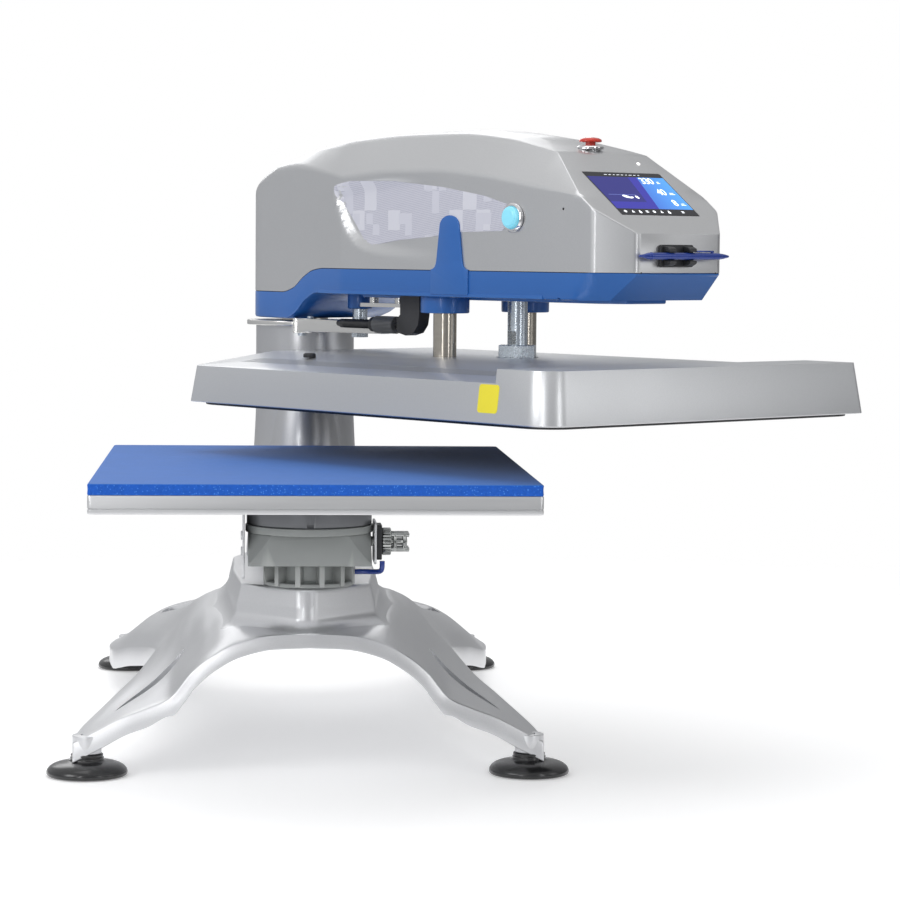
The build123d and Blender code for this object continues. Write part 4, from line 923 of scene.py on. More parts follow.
bits = []
for s, (cy, cz, w, h) in ((-1, (0, 224, 64, 66)), (1, (0, 226, 50, 42))):
    x = -66.8 if s < 0 else 64.4
    to = axes(ped((x, 0, 0))[0], (0, 1, 0), (0, 0, 1), (1, 0, 0))
    bits.append(prism("plate", rrect(w, h, 5, 6, cy, cz), 0, 2.4, "carriage", MAT["cast"], to, 0.5, 2))
    for cy2, cz2, r in ((18, 214, 4.6), (18, 230, 4.6), (-20, 234, 3.6)):
        if s > 0 and cy2 < 0:
            continue
        o = -1.6 if s < 0 else 2.4
        to2 = axes(ped((x + o, cy2, cz2))[0], (0, 1, 0), (0, 0, 1), (1, 0, 0))
        prof = rp([(0, 0), (r, 0), (r, 1.6), (0, 1.6)], 0.5) if s > 0 else rp([(0, 0), (r, 0), (r, 1.7), (0, 1.7)], 0.5)
        bits.append(lathe("screw", prof, "carriage", MAT["black"] if cy2 < 0 else MAT["steel"], to2, 32))
sides = join(bits, "pedestal_side_plate_set")
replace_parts(sides, "pedestal_side_plates")

# clamp knob: knurled drum, two clover flanges, four pins
kx = axes(ped((0, 0, KNOB_Z))[0], (0, 1, 0), (0, 0, 1), (1, 0, 0))


def gear(r0, r1, n, duty=0.5):
    out = []
    for i in range(n):
        a = 2 * pi * i / n
        w = pi / n
        for q, r in ((-0.92, r0), (-0.5, r1), (0.0, r1), (0.5, r1), (0.92, r0)):
            out.append((r * cos(a + q * w), r * sin(a + q * w)))
    return out


knob = [prism("drum", gear(12.3, 13.8, 26), 73.1, 81.9, "lock_knob", MAT["darkchrome"], kx, 0.9, 2),
        lathe("shaft", rp([(0, 61.5), (5.1, 61.5), (5.1, 73.2), (0, 73.2)], 0.4), "lock_knob", MAT["steel"], kx, 40),
        lathe("spindle", rp([(0, 81.7), (5.0, 81.7), (4.0, 86), (4.0, 92.5), (5.4, 97.9), (0, 98.5)], 0.6), "lock_knob", MAT["darkchrome"], kx, 48)]
for z in (84.4, 93.8):
    cl = []
    for i in range(4):
        a = pi / 4 + i * pi / 2
        for q in (-0.52, -0.30, -0.15, 0, 0.15, 0.30, 0.52):
            r = 12.9 - 3.4 * abs(q) / 0.52
            cl.append((r * cos(a + q), r * sin(a + q)))
        cl.append((6.8 * cos(a + pi / 4), 6.8 * sin(a + pi / 4)))
    knob.append(prism("clover", cl, z, z + 3.0, "lock_knob", MAT["chrome"], kx, 0.6, 2))
for i in range(4):
    a = pi / 4 + i * pi / 2
    c = np.array((10.4 * cos(a), 10.4 * sin(a), 0))
    to = lambda p, c=c: kx(np.atleast_2d(np.asarray(p, float)) + c)
    knob.append(lathe("pin", rp([(0, 81.8), (2.3, 81.8), (2.3, 99.9), (0, 100.3)], 0.5), "lock_knob", MAT["darkchrome"], to, 24))
knob = join(knob, "lock_knob_wheel")
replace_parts(knob, "lock_knob")
kb = prism("knob_bracket_body", rrect(30, 35, 3, 5, 0, 0), 66.95, 72.5, "carriage", MAT["black"], kx, 0.7, 2)
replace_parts(kb, "knob_bracket")

# blue air tube from the lock into the pedestal
pth = np.array([(72.8, 58, 207.5), (72.8, 58, 204.5), (72.8, 58.2, 201.6), (72.4, 59.2, 198.9), (70.9, 61.6, 196.9), (68.2, 64.8, 196.0), (64.3, 67.8, 195.6), (59.0, 70.6, 195.4), (52.5, 72.2, 195.3), (45.8, 72.6, 195.2)], float)
tt = np.linspace(0, len(pth) - 1, 48)
pth = np.column_stack([pchip(np.arange(len(pth)), pth[:, i], tt) for i in range(3)])
tube = sweep("lock_air_tube", mach(pth), 2.6, "carriage", MAT["tube"], 20)
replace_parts(tube, "air_tube")

# ---------------------------------------------------------------------------
# Heat platen cover
# ---------------------------------------------------------------------------
COVER_Z, DECK_Z, SHELF_Z = 361.34, 411.3, 398.0
cov = lambda p: head(np.atleast_2d(np.asarray(p, float)) + np.array((REACH, 0, 0)))


def cover_loop(d):
    hx, hy = 268.9 - d, 215.1 - d
    return fillet2([(hx, hy), (-hx, hy), (-hx, -hy), (hx, -hy)], [8 - d * 0.15, 8 - d * 0.15, 8 - d * 0.15, 27 - d * 0.3], 14)


def make_cover():
    loops = []
    for k, z in enumerate((COVER_Z, COVER_Z + 0.25, COVER_Z + 0.9, DECK_Z)):
        f = (z - COVER_Z) / (DECK_Z - COVER_Z)
        d = 6.5 * f + (1.0, 0.3, 0, 0)[k]
        q = cover_loop(d)
        loops.append(np.column_stack((q, np.full(len(q), z))))
    ob = rings("platen_cover_shell", loops, "press", MAT["cover"], cov, sharp=25)
    tools = []
    for s in (-1, 1):
        sec = [(s * 110, DECK_Z), (s * 212, SHELF_Z), (s * 226, SHELF_Z - 1.7), (s * 226, 425), (s * 110, 425)]
        pts, faces = [], []
        us = (-300.0, 194.8)
        for u in us:
            pts += [(u, v, z) for v, z in sec]
        faces = [(0, 1, 2, 3, 4), (9, 8, 7, 6, 5)] + [(i, 5 + i, 5 + (i + 1) % 5, (i + 1) % 5) for i in range(5)]
        tools.append(build("wedge", cov(pts), faces, None, MAT["cover"]))
    cut(ob, tools, sharp=25)
    tidy(ob, 25)
    bev(ob, 3.6, 4, 20, sharp=28)
    # hollow underneath, round the heated plate
    inner = [rr_stack("in1", 530.5, 422.9, 32, [(0, 355), (0.0, COVER_Z), (3.5, 392)], None, MAT["heater"], cov),
             rr_stack("in2", 480, 196, 20, [(0, 391), (0, 408)], None, MAT["heater"], cov)]
    cut(ob, inner, sharp=28)
    # guide post and rod openings
    holes = []
    for u, v, r in ((342, 0, 21.5), (294, -54.9, 12.7), (294, 54.9, 12.7)):
        to = lambda p, u=u, v=v: head(np.atleast_2d(np.asarray(p, float)) + np.array((u, v, 0)))
        holes.append(lathe("hole", [(0, 385), (r, 385), (r, 420), (0, 420)], None, MAT["heater"], to, 48))
    cut(ob, holes, sharp=28)
    # one strip of fine slanted vent slots along each shelf
    vs, fs = [], []
    for s in (-1, 1):
        for i in range(74):
            u = 116 + i * 5.45
            o = len(vs)
            for z in (388, 416):
                for du, dv in ((0, -12.5), (2.6, -12.5), (2.6 + 4.5, 12.5), (4.5, 12.5)):
                    vs.append((u + (du if s < 0 else du), s * (164 - dv), z))
            fs += [(o, o + 1, o + 2, o + 3), (o + 7, o + 6, o + 5, o + 4)] + [(o + k, o + 4 + k, o + 4 + (k + 1) % 4, o + (k + 1) % 4) for k in range(4)]
    slots = build("slots", head(vs), fs, None, MAT["heater"])
    cut(ob, slots, sharp=28)
    return tidy(ob, 28)


cover = make_cover()
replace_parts(cover, "platen_cover")
# dark edge of the heated plate under the cover
hot = rr_stack("heated_plate", 508 + 20, 406.4 + 14, 30, [(1.5, 358.84), (0.4, 359.1), (0, 359.8), (0, 365.6), (1.0, 366.2)], "press", MAT["heater"], cov)
hot2 = rr_stack("heated_plate_core", 508, 406.4, 10, [(0, 366.1), (0, 375.8)], "press", MAT["alu"], cov)
hot = join([hot, hot2], "heated_plate")
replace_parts(hot, "heat_platen")
bump_at = lambda p: head(np.atleast_2d(np.asarray(p, float)) + np.array((REACH - 163, -140, 0)))
bmp = lathe("cover_stop_pad", rp([(0, 408.2), (6.5, 408.2), (6.3, 411.6), (5.0, 412.8), (0, 412.9)], 0.8), "press", MAT["black"], bump_at, 40)
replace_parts(bmp, "cover_bumper")

# ---------------------------------------------------------------------------
# Head: shared outline and heights
# ---------------------------------------------------------------------------
CR = np.array([(-60, 530, 561, 563), (-30, 545, 583, 586), (0, 556, 598, 601), (50, 568, 614, 617.5), (100, 577, 625, 628.5),
               (165, 586.5, 631.5, 635.5), (243, 595, 634.5, 638.3), (310, 596.3, 634, 638.6), (381, 590.5, 628, 631.5),
               (429, 583, 619.6, 620.6), (461.6, 577, 612.6, 613.4), (575, 553, 590, 591)])
SPLIT = np.array([(-62, 472.6), (38, 472.6), (62, 477.0), (86, 489.5), (107, 496.6), (130, 498.6), (575, 498.6)])
PANEL_U, PANEL_Z = (461.6, 566.0), (612.4, 535.3)
PSLOPE = (PANEL_Z[0] - PANEL_Z[1]) / (PANEL_U[1] - PANEL_U[0])


def arc3(p1, p2, p3, x):
    """y on the circle through three points at x (upper side)."""
    A = np.array([[2 * (p2[0] - p1[0]), 2 * (p2[1] - p1[1])], [2 * (p3[0] - p1[0]), 2 * (p3[1] - p1[1])]])
    b = np.array([p2[0] ** 2 + p2[1] ** 2 - p1[0] ** 2 - p1[1] ** 2, p3[0] ** 2 + p3[1] ** 2 - p1[0] ** 2 - p1[1] ** 2])
    c = np.linalg.solve(A, b)
    r = hypot(p1[0] - c[0], p1[1] - c[1])
    return c[1] + sqrt(max(r * r - (x - c[0]) ** 2, 0))


FRONT = fillet2([(500, arc3((165, 85), (350, 88), (535, 84.2), 500)), (535, 84.2), (566, 56), (566, 0)], [0, 9, 9, 0], 6, closed=False)


def half_width(u):
    if u <= -9.6:
        return sqrt(max(54.4 ** 2 - u * u, 0.0))
    if u <= 165:
        return 53.6 + (u + 9.6) / 174.6 * 31.4
    if u <= 500:
        return arc3((165, 85), (350, 88), (535, 84.2), u)
    return float(np.interp(u, FRONT[:-1, 0], FRONT[:-1, 1]))


U_REAR = [-54.4 * cos(a) for a in np.linspace(0.0, radians(79.8), 15)]
U_MAIN = list(np.arange(-4, 450, 5.0)) + [452, 455, 457.2, 461.6, 464, 468, 473, 479, 485, 491, 497, 503, 509, 515, 520, 524, 527, 528.8, 530.5]
U_NOSE = [float(u) for u in FRONT[1:-1, 0] if u > 531]
US = sorted(set(round(u, 4) for u in U_REAR + U_MAIN + U_NOSE))


def roof(u, v):
    zc, zt, zr = (float(pchip(CR[:, 0], CR[:, k], np.array([u]))[0]) for k in (1, 2, 3))
    return float(np.interp(abs(v), (0, 22, 60, 88.6), (zr, zr, zt, zc)))


def split(u):
    return float(pchip(SPLIT[:, 0], SPLIT[:, 1], np.array([u]))[0])


SCOOP = np.array([(148, 590), (152, 577), (158, 562), (167, 546), (178, 533), (190, 524), (206, 517.5), (226, 513.5), (250, 511), (280, 509), (330, 507)], float)


def scoop_depth(u, z):
    """How far the side wall is pressed in at (u, z): crisp curved edge behind, soft step below, fading out forwards."""
    if u < 140 or u > 372:
        return 0.0
    d = 1e9
    side = 1
    for a, b in zip(SCOOP[:-1], SCOOP[1:]):
        e = b - a
        t = np.clip(np.dot((u - a[0], z - a[1]), e) / np.dot(e, e), 0, 1)
        q = a + t * e
        k = hypot(u - q[0], z - q[1])
        if k < d:
            d = k
            side = 1 if (e[0] * (z - a[1]) - e[1] * (u - a[0])) > 0 else -1
    d *= side
    soft = 5.5 + 6.5 * float(smooth(175, 240, u))
    f = float(smooth(0.0, soft, d))
    zc = float(pchip(CR[:, 0], CR[:, 1], np.array([u]))[0])
    top = float(smooth(0.0, 11.0, zc - 3.0 - z))
    fade = 1 - float(smooth(190, 352, u))
    return 6.2 * f * top * fade


def make_shell():
    NW = 26
    loops = []
    for u in US:
        w = max(half_width(u), 0.0)
        zb = split(u)
        zp = 1e9 if u < 461.6 else PANEL_Z[0] - (u - PANEL_U[0]) * PSLOPE
        if 457.2 < u < 461.6:
            zp = 1e9
        r1 = roof(u, w)
        if u >= 461.6 - 1e-6:
            # where the inclined panel meets the roof or the wall
            if r1 >= zp - 1e-6:
                vs = w
            else:
                vv = np.linspace(0, w, 400)
                rz = np.array([roof(u, v) for v in vv])
                below = np.where(rz <= zp)[0]
                vs = float(vv[below[0]]) if len(below) else w
            P = [(w, zb), (w, min(r1, zp)), (vs, zp), (vs * 0.4, zp), (0.0, zp)]
            k = float(smooth(461.6, 500, u))
            rad = [0, 9 * (1 - k) + 3.0 * k if vs < w - 4 else 0.8, 1.4, 0, 0]
            if vs >= w - 0.01:
                P[2] = (w * 0.93, zp)
                rad = [0, 1.2, 0, 0, 0]
        else:
            v2, v3 = min(60.0, 0.74 * w), min(22.0, 0.3 * w)
            P = [(w, zb), (w, r1), (v2, roof(u, v2)), (v3, roof(u, v3)), (0.0, roof(u, 0))]
            k = float(smooth(380, 459, u))
            rad = [0, 10.0, 15 * (1 - k) + 2.0 * k, 22 * (1 - k) + 3 * k, 0]
            if w < 12:
                rad = [0, min(4, w * 0.4), 0, 0, 0]
        f = fillet2([np.array(p) for p in P], rad, 6, closed=False)
        wall_top = f[1]
        zs = zb + (wall_top[1] - zb) * (np.linspace(0, 1, NW))
        wall = [(w, z) for z in zs[:-1]]
        roofp = [tuple(p) for p in f[1:]]
        # extra points across the wide flats so the paint shades evenly
        half = wall + roofp
        row = []
        for v, z in half:
            row.append((u, v, z))
        row = np.array(row)
        dd = np.array([scoop_depth(u, z) if v > w - 0.8 and i < NW + 1 else 0.0 for i, (v, z) in enumerate(row[:, 1:])])
        L = row.copy()
        L[:, 1] -= dd
        R = L[:-1].copy()
        R[:, 1] *= -1
        loops.append(np.concatenate((R, L[::-1])))
    n = len(loops[0])
    pts = np.concatenate(loops)
    F = []
    for k in range(len(loops) - 1):
        for i in range(n - 1):
            a, b = k * n + i, (k + 1) * n + i
            F.append((a, a + 1, b + 1, b))
    last = (len(loops) - 1) * n
    F.append([last + i for i in range(n)])
    ob = build("head_shell_skin", head(pts), F, "head", MAT["shell"], merge=3e-2, sharp=40)
    m = ob.modifiers.new("wall", "SOLIDIFY")
    m.thickness, m.offset, m.use_even_offset, m.use_rim = 0.0026, -1.0, False, True
    bake(ob, 40)
    bev(ob, 1.1, 3, 34, sharp=40)
    return ob


shell = make_shell()

# panel frame: x to the far side, y up the slope, z out of the panel
PA = head((PANEL_U[0], 0, PANEL_Z[0]))[0]
pd = np.array((PANEL_U[1] - PANEL_U[0], PANEL_Z[1] - PANEL_Z[0]))
pd /= np.linalg.norm(pd)
PY = -(pd[0] * EU + pd[1] * UP)
PZ = np.cross(EV, PY)
if PZ[2] < 0:
    PZ = -PZ
panel = axes(PA, EV, PY, PZ)
near = axes(head((429.3, 0, 550))[0], EU, UP, -EV)
far = axes(head((429.3, 0, 550))[0], -EU, UP, EV)

tools = [prism("t", rrect(105.8, 69.9, 1.6, 4, 0, -65.5), -1.6, 8, None, MAT["groove"], panel),
         prism("t", rrect(98, 62, 1, 2, 0, -65.5), -20, 2, None, MAT["groove"], panel),
         lathe("t", [(0, -12), (1.9, -12), (1.9, 4), (0, 4)], None, MAT["groove"], axes(panel((36.9, -14.6, 0))[0], EV, PY, PZ), 24)]
for to in (near, far):
    tools.append(lathe("t", [(0, 70), (12.1, 70), (12.1, 100), (0, 100)], None, MAT["groove"], to, 48))
tools.append(lathe("t", [(0, 590), (8.3, 590), (8.3, 616.9), (13.6, 617.4), (13.6, 640), (0, 640)], None, MAT["groove"], lambda p: head(np.atleast_2d(np.asarray(p, float)) + np.array((444, 0, 0))), 40))
rear = axes(head((-70, 0, 0))[0], EV, UP, EU)
tools.append(prism("t", rrect(27.6, 42.6, 0.5, 2, 0, 524), -5, 30, None, MAT["groove"], rear))
tools.append(lathe("t", [(0, -5), (8.1, -5), (8.1, 30), (0, 30)], None, MAT["groove"], axes(rear((0, 487, 0))[0], EV, UP, EU), 40))
# hairline joint at the front corner and a small screw hole on the side
for s in (-1, 1):
    a = head((536.6, s * 84.4, 0))[0]
    d = (EU * 31 + EV * s * -28.2)
    d /= np.linalg.norm(d)
    nrm = np.cross(d, UP) * (1 if s < 0 else -1)
    nrm = nrm if np.dot(nrm, EV * s) > 0 else -nrm
    to = axes(a, d, UP, nrm)
    tools.append(prism("t", rrect(0.55, 90, 0.05, 1, 0, 524), -0.9, 3, None, MAT["groove"], to))
    to = axes(head((496.6, s * 80, 558))[0], EU, UP, EV * s)
    tools.append(lathe("t", [(0, 2), (1.3, 2), (1.3, 12), (0, 12)], None, MAT["groove"], to, 20))
for t in tools:
    cut(shell, t, sharp=40)
tidy(shell, 40)
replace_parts(shell, "head_shell")

# ---------------------------------------------------------------------------
# Tray
# ---------------------------------------------------------------------------
TB_ = np.array([(-62, 444.0), (44, 444.0), (64, 449.5), (88, 464.5), (112, 472.0), (537, 472.0), (566, 498.3)])


def make_tray():
    loops = []
    us = sorted(set(US + [537.0, 536.0, 540.0, 110.5, 113.5]))
    for u in us:
        w = max(half_width(u), 0.0)
        zt = split(u) - 0.7
        if u < 130:
            zb = float(pchip(TB_[:6, 0], TB_[:6, 1], np.array([u]))[0])
        else:
            zb = float(np.interp(u, (112, 537, 566), (472.0, 472.0, 496.9)))
        k = min(2.6, w * 0.3, max((zt - zb) * 0.3, 0.05))
        half = [(w, zt), (w, zt - (zt - zb - k) * 0.5), (w, zb + k), (w - k * 0.3, zb + k * 0.3), (w - k, zb), (w * 0.5, zb), (0, zb)]
        lean = lambda v, z: min(v, max(84.2 + (-0.57 * max(498.0 - z, 0.0) - (u - 535) * 0.673) / 0.740, 2.0)) if u > 480 else v
        L = np.array([(u, lean(v, z), z) for v, z in half])
        R = L[:-1].copy()
        R[:, 1] *= -1
        loops.append(np.concatenate((R, L[::-1])))
    n = len(loops[0])
    F = []
    for k in range(len(loops) - 1):
        for i in range(n - 1):
            a, b = k * n + i, (k + 1) * n + i
            F.append((a, a + 1, b + 1, b))
    last = (len(loops) - 1) * n
    F.append([last + i for i in range(n)])
    ob = build("head_tray_pan", head(np.concatenate(loops)), F, "head", MAT["tray"], merge=3e-2, sharp=35)
    m = ob.modifiers.new("wall", "SOLIDIFY")
    m.thickness, m.offset, m.use_even_offset, m.use_rim = 0.0030, -1.0, False, True
    bake(ob, 35)
    tools = []
    for u, v, r in ((0, 0, 27.5), (342, 0, 14), (294, -54.9, 19.2), (294, 54.9, 19.2), (118, -20, 4.3)):
        to = lambda p, u=u, v=v: head(np.atleast_2d(np.asarray(p, float)) + np.array((u, v, 0)))
        tools.append(lathe("t", [(0, 436), (r, 436), (r, 484), (0, 484)], None, MAT["groove"], to, 48))
    for s in (-1, 1):
        for u in (109.5, 491):
            z = 470.5 if u > 200 else 469.6
            pts = [(-2.6, -6), (2.6, -6), (2.2, 3.2), (-1.2, 3.9)]
            to = axes(head((u, s * 90, z))[0], EU, UP, EV * s)
            tools.append(prism("t", pts, -16, 6, None, MAT["groove"], to))
    for t in tools:
        cut(ob, t, sharp=35)
    return tidy(ob, 35)


tray = make_tray()
extra = [prism("floor", [(150, -43), (500, -43), (524, -26), (524, 26), (500, 43), (150, 43)], 468.4, 473.0, "head", MAT["tray"], head, 0.0, 2, bot=1.4)]
# the floor panel is open where rod and posts pass
h = [lathe("t", [(0, 460), (14, 460), (14, 480), (0, 480)], None, MAT["groove"], lambda p: head(np.atleast_2d(np.asarray(p, float)) + np.array((342, 0, 0))), 48)]
for v in (-54.9, 54.9):
    h.append(lathe("t", [(0, 460), (24.4, 460), (24.4, 480), (0, 480)], None, MAT["groove"], lambda p, v=v: head(np.atleast_2d(np.asarray(p, float)) + np.array((294, v, 0))), 48))
cut(extra[0], h)
tidy(extra[0])
for v in (-54.9, 54.9):
    to = lambda p, v=v: head(np.atleast_2d(np.asarray(p, float)) + np.array((294, v, 0)))
    extra.append(lathe("boss", rp([(19.2, 455.2), (24.5, 455.2), (24.7, 473.4), (19.2, 473.4)], 1.2), "head", MAT["tray"], to, 72))
to = lambda p: head(np.atleast_2d(np.asarray(p, float)) + np.array((118, -20, 0)))
extra.append(lathe("boss", rp([(4.3, 455.6), (13, 455.6), (13.2, 473.4), (4.3, 473.4)], 1.0), "head", MAT["tray"], to, 48))
# stiffening bead along the lower edge of each wall
for s in (-1, 1):
    q = []
    for u in np.linspace(118, 470, 40):
        w = half_width(u)
        q.append((u, w))
    sec = [(0.45, 472.6), (0.45, 475.6), (-1.2, 476.8), (-1.2, 471.9)]
    loops = [np.array([(u, s * (w + dv), z) for dv, z in sec]) for u, w in q]
    extra.append(rings("bead", loops, "head", MAT["tray"], head, sharp=40))
for s in (-1, 1):
    left = [(311, 499.2), (314.4, 499.9), (317.0, 501.8), (318.6, 504.6), (319.4, 508), (323.6, 539)]
    fin = left + [(338.5 - 14.6 * cos(t), 541.6 + 10.9 * sin(t)) for t in np.linspace(0.12, pi - 0.12, 21)]
    fin += [(677.0 - u, z) for u, z in left[::-1]] + [(366, 474.5), (311, 474.5)]
    to = axes(head((0, s * 88.15, 0))[0], EU, UP, EV * s)
    extra.append(prism("fin", fin, 0, 1.7, "head", MAT["tray"], to, 0.0, 2, top=0.7))
tray = join([tray] + extra, "head_tray_body", 35)
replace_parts(tray, "head_tray", "tray_fins")
# dark gasket line that shows in the joint between shell and tray
loops = []
for u in US:
    w = max(half_width(u), 0.0)
    z = split(u)
    q = np.array([(u, max(w - 1.0, 0), z - 1.1), (u, max(w - 1.0, 0), z + 0.6), (u, max(w - 2.6, 0), z + 0.6), (u, max(w - 2.6, 0), z - 1.1)])
    loops.append(q)
gs = []
for s in (-1, 1):
    gs.append(rings("gasket", [l[(loops[0][:, 0] > -1e9)] * np.array((1, s, 1)) for l in loops[1:]], "head", MAT["groove"], head))
gasket = join(gs, "joint_gasket")

# ---------------------------------------------------------------------------
# Display, lamp, buttons, stop, stylus
# ---------------------------------------------------------------------------
def quad(name, to, x0, x1, y0, y1, z, t, body, mat, r=0.6):
    q = rrect(x1 - x0, y1 - y0, r, 3, (x0 + x1) / 2, (y0 + y1) / 2)
    loops = [np.column_stack((q, np.full(len(q), h))) for h in (z, z + t)]
    ob = rings(name, loops, body, mat, to)
    me = ob.data
    layer = me.uv_layers.new(name="UVMap")
    inv = np.array([EV, PY, PZ])
    for lp in me.loops:
        p = inv @ (np.array(me.vertices[lp.vertex_index].co) * 1000 - PA)
        layer.data[lp.index].uv = ((p[0] - x0) / (x1 - x0), (p[1] - y0) / (y1 - y0))
    return ob


glass = rr_stack("screen_frame", 105.4, 69.5, 1.6, [(0.4, -1.4), (0, -1.2), (0, -0.2), (0.35, 0.12)], "head", MAT["glass"], panel, 4, cx=0, cy=-65.5)
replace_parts(glass, "touch_screen")
pic = quad("display_picture", panel, -51.4, 51.4, -99.2, -31.8, 0.14, 0.12, "head", MAT["display"])


def number(text, size, x, y, slant=0.0, name="digits"):
    cu = bpy.data.curves.new(name, "FONT")
    cu.body, cu.size, cu.align_x, cu.align_y = text, size, "RIGHT", "CENTER"
    cu.extrude, cu.offset, cu.space_character = 0.05, 0.12, 0.9
    tmp = bpy.data.objects.new(name, cu)
    SC.collection.objects.link(tmp)
    bpy.context.view_layer.update()
    me = bpy.data.meshes.new_from_object(tmp.evaluated_get(bpy.context.evaluated_depsgraph_get()))
    bpy.data.objects.remove(tmp)
    V = np.array([v.co for v in me.vertices]) if len(me.vertices) else np.zeros((0, 3))
    V = V * np.array((0.92, 1, 1)) + np.array((x, y, 0.31))
    F = [tuple(p.vertices) for p in me.polygons]
    bpy.data.meshes.remove(me)
    return build(name, panel(V), F, "head", MAT["digits"], sharp=30)


marks = [number("330", 13.5, 33, -44.5), number("40", 13.5, 36, -62.5), number("8", 13.5, 38, -80.0)]


def dab(pts, mat="digits"):
    return prism("mark", pts, 0.27, 0.36, "head", MAT[mat], panel)


def blob(x, y, rx, ry, n=20, rot=0.0):
    return [(x + rx * cos(a) * cos(rot) - ry * sin(a) * sin(rot), y + rx * cos(a) * sin(rot) + ry * sin(a) * cos(rot)) for a in np.linspace(0, 2 * pi, n, endpoint=False)]


# plain bars stand for the units, and simple shapes for the icons along the foot of the screen
for x0, x1, y in ((36.0, 40.5, -47.5), (39.0, 46.5, -65.5), (41.0, 47.5, -83.0)):
    for j in range(2):
        marks.append(dab(rrect((x1 - x0) * (1 - 0.3 * j), 0.9, 0.3, 2, (x0 + x1) / 2, y + 2.0 * j)))
marks.append(dab(blob(-24, -70.5, 4.6, 2.0, rot=-0.35)))
marks.append(dab(blob(-18, -72.0, 3.0, 1.3, rot=0.2)))
marks.append(dab(blob(-10, -71.4, 1.8, 2.6, rot=0.5)))
for i, x in enumerate((-44, -34, -24.5, -15, -5.5, 4.5, 14.5, 33.5)):
    y = -94.6
    if i % 4 == 0:
        marks.append(dab(blob(x, y, 1.8, 1.8)))
    elif i % 4 == 1:
        marks.append(dab([(x - 1.8, y - 1.7), (x + 1.8, y - 1.7), (x, y + 2.1)]))
    elif i % 4 == 2:
        marks.append(dab(rrect(1.5, 4.0, 0.5, 3, x, y)))
        marks.append(dab(blob(x, y - 1.2, 1.7, 1.5)))
    else:
        marks.append(dab(rrect(3.4, 1.1, 0.4, 3, x, y + 0.9)))
        marks.append(dab(rrect(3.4, 1.1, 0.4, 3, x, y - 0.9)))
for x0, x1, y in ((-26, 24, -34.9),):
    for j in range(9):
        a = x0 + (x1 - x0) * j / 9
        marks.append(dab(rrect(3.9 - (j % 3) * 0.8, 0.55, 0.2, 2, a + 2, y), "digits"))
marks = join(marks, "display_marks")
lampto = axes(panel((36.9, -14.6, 0))[0], EV, PY, PZ)
lamp = lathe("status_lamp", rp([(0, -3.4), (1.8, -3.4), (1.8, 0.5), (1.1, 0.95), (0, 1.0)], 0.3), "head", MAT["lamp"], lampto, 32)
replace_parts(lamp, "status_light")

for to, body, tag, node in ((near, "button_near", "near", "start_button_near"), (far, "button_far", "far", "start_button_far")):
    rg = lathe("start_bezel_" + tag, rp([(10.95, 79), (11.9, 79), (11.9, 87.7), (14.3, 87.7), (14.3, 89.6), (12.6, 91.0), (11.2, 91.0), (10.95, 90.2)], 0.35), "head", MAT["chrome"], to, 96)
    gl = lathe("start_glow_" + tag, rp([(0, 80.5), (10.7, 80.5), (10.7, 92.2), (10.2, 93.6), (9.6, 94.0), (9.2, 94.2), (0, 94.2)], 0.3), body, MAT["glow"], to, 96)
    cp = lathe("cap", rp([(0, 93.6), (8.9, 93.6), (8.9, 94.8), (7.6, 95.4), (0, 95.5)], 0.4), body, MAT["lens"], to, 96)
    b = join([gl, cp], "start_button_cap_" + tag)
    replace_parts(b, node)
    if tag == "near":
        first = rg
    else:
        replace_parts(join([first, rg], "start_bezels"), "start_button_rings")
st = lambda p: head(np.atleast_2d(np.asarray(p, float)) + np.array((444, 0, 0)))
collar = lathe("stop_bezel", rp([(5.5, 600), (8.0, 600), (8.0, 616.5), (13.1, 617.2), (13.3, 619.6), (11.8, 620.8), (8.0, 621.1), (5.5, 620.6)], 0.4), "head", MAT["chrome"], st, 96)
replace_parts(collar, "stop_collar")
mush = lathe("stop_mushroom", rp([(0, 597), (5.0, 597), (5.0, 624.2), (9.6, 624.2), (11.0, 624.7), (11.2, 625.8), (10.4, 627.2), (8.0, 628.3), (4.0, 629.0), (0, 629.1)], 0.5), "stop_button", MAT["red"], st, 96)
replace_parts(mush, "emergency_stop")

# stylus and its clip
sy = axes(head((575.4, 0, 514.5))[0], UP, EU, EV)
sty = [lathe("barrel", rp([(0, -50.5), (2.7, -50.4), (3.3, -47), (3.4, -30), (3.35, 20), (3.2, 44), (2.9, 46.2), (0, 46.2)], 0.3), "stylus", MAT["stylus"], sy, 48),
       lathe("tip", rp([(0, -63), (0.7, -62.8), (1.2, -60.5), (1.8, -56.5), (3.0, -51.5), (3.25, -50.2), (0, -50.2)], 0.2), "stylus", MAT["stylus"], sy, 40),
       lathe("tail", rp([(0, 46.0), (2.9, 46.0), (2.3, 51), (1.3, 56.6), (0.9, 57.9), (0, 58)], 0.2), "stylus", MAT["black"], sy, 40),
       lathe("band", rp([(0, -47.8), (3.55, -47.8), (3.55, -45.2), (0, -45.2)], 0.2), "stylus", MAT["black"], sy, 48),
       prism("pocket_clip", rrect(1.6, 26, 0.7, 3, 4.6, 0), -1, 1, "stylus", MAT["stylus"], axes(head((575.4, 24, 514.5))[0], UP, EV, EU), 0.4, 2)]
sty.append(prism("clip_root", rrect(3.0, 3.0, 0.5, 2, 3.6, 11.5), -1, 1, "stylus", MAT["stylus"], axes(head((575.4, 24, 514.5))[0], UP, EV, EU), 0.3, 1))
sty = join(sty, "stylus_pen")
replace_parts(sty, "stylus")
hf = axes(head((566.2, 0, 514.7))[0], EV, UP, EU)
hold = [prism("back", rrect(44, 21, 2, 5, -6.2, 0), 0, 3.6, "head", MAT["black"], hf, 0.8, 2)]
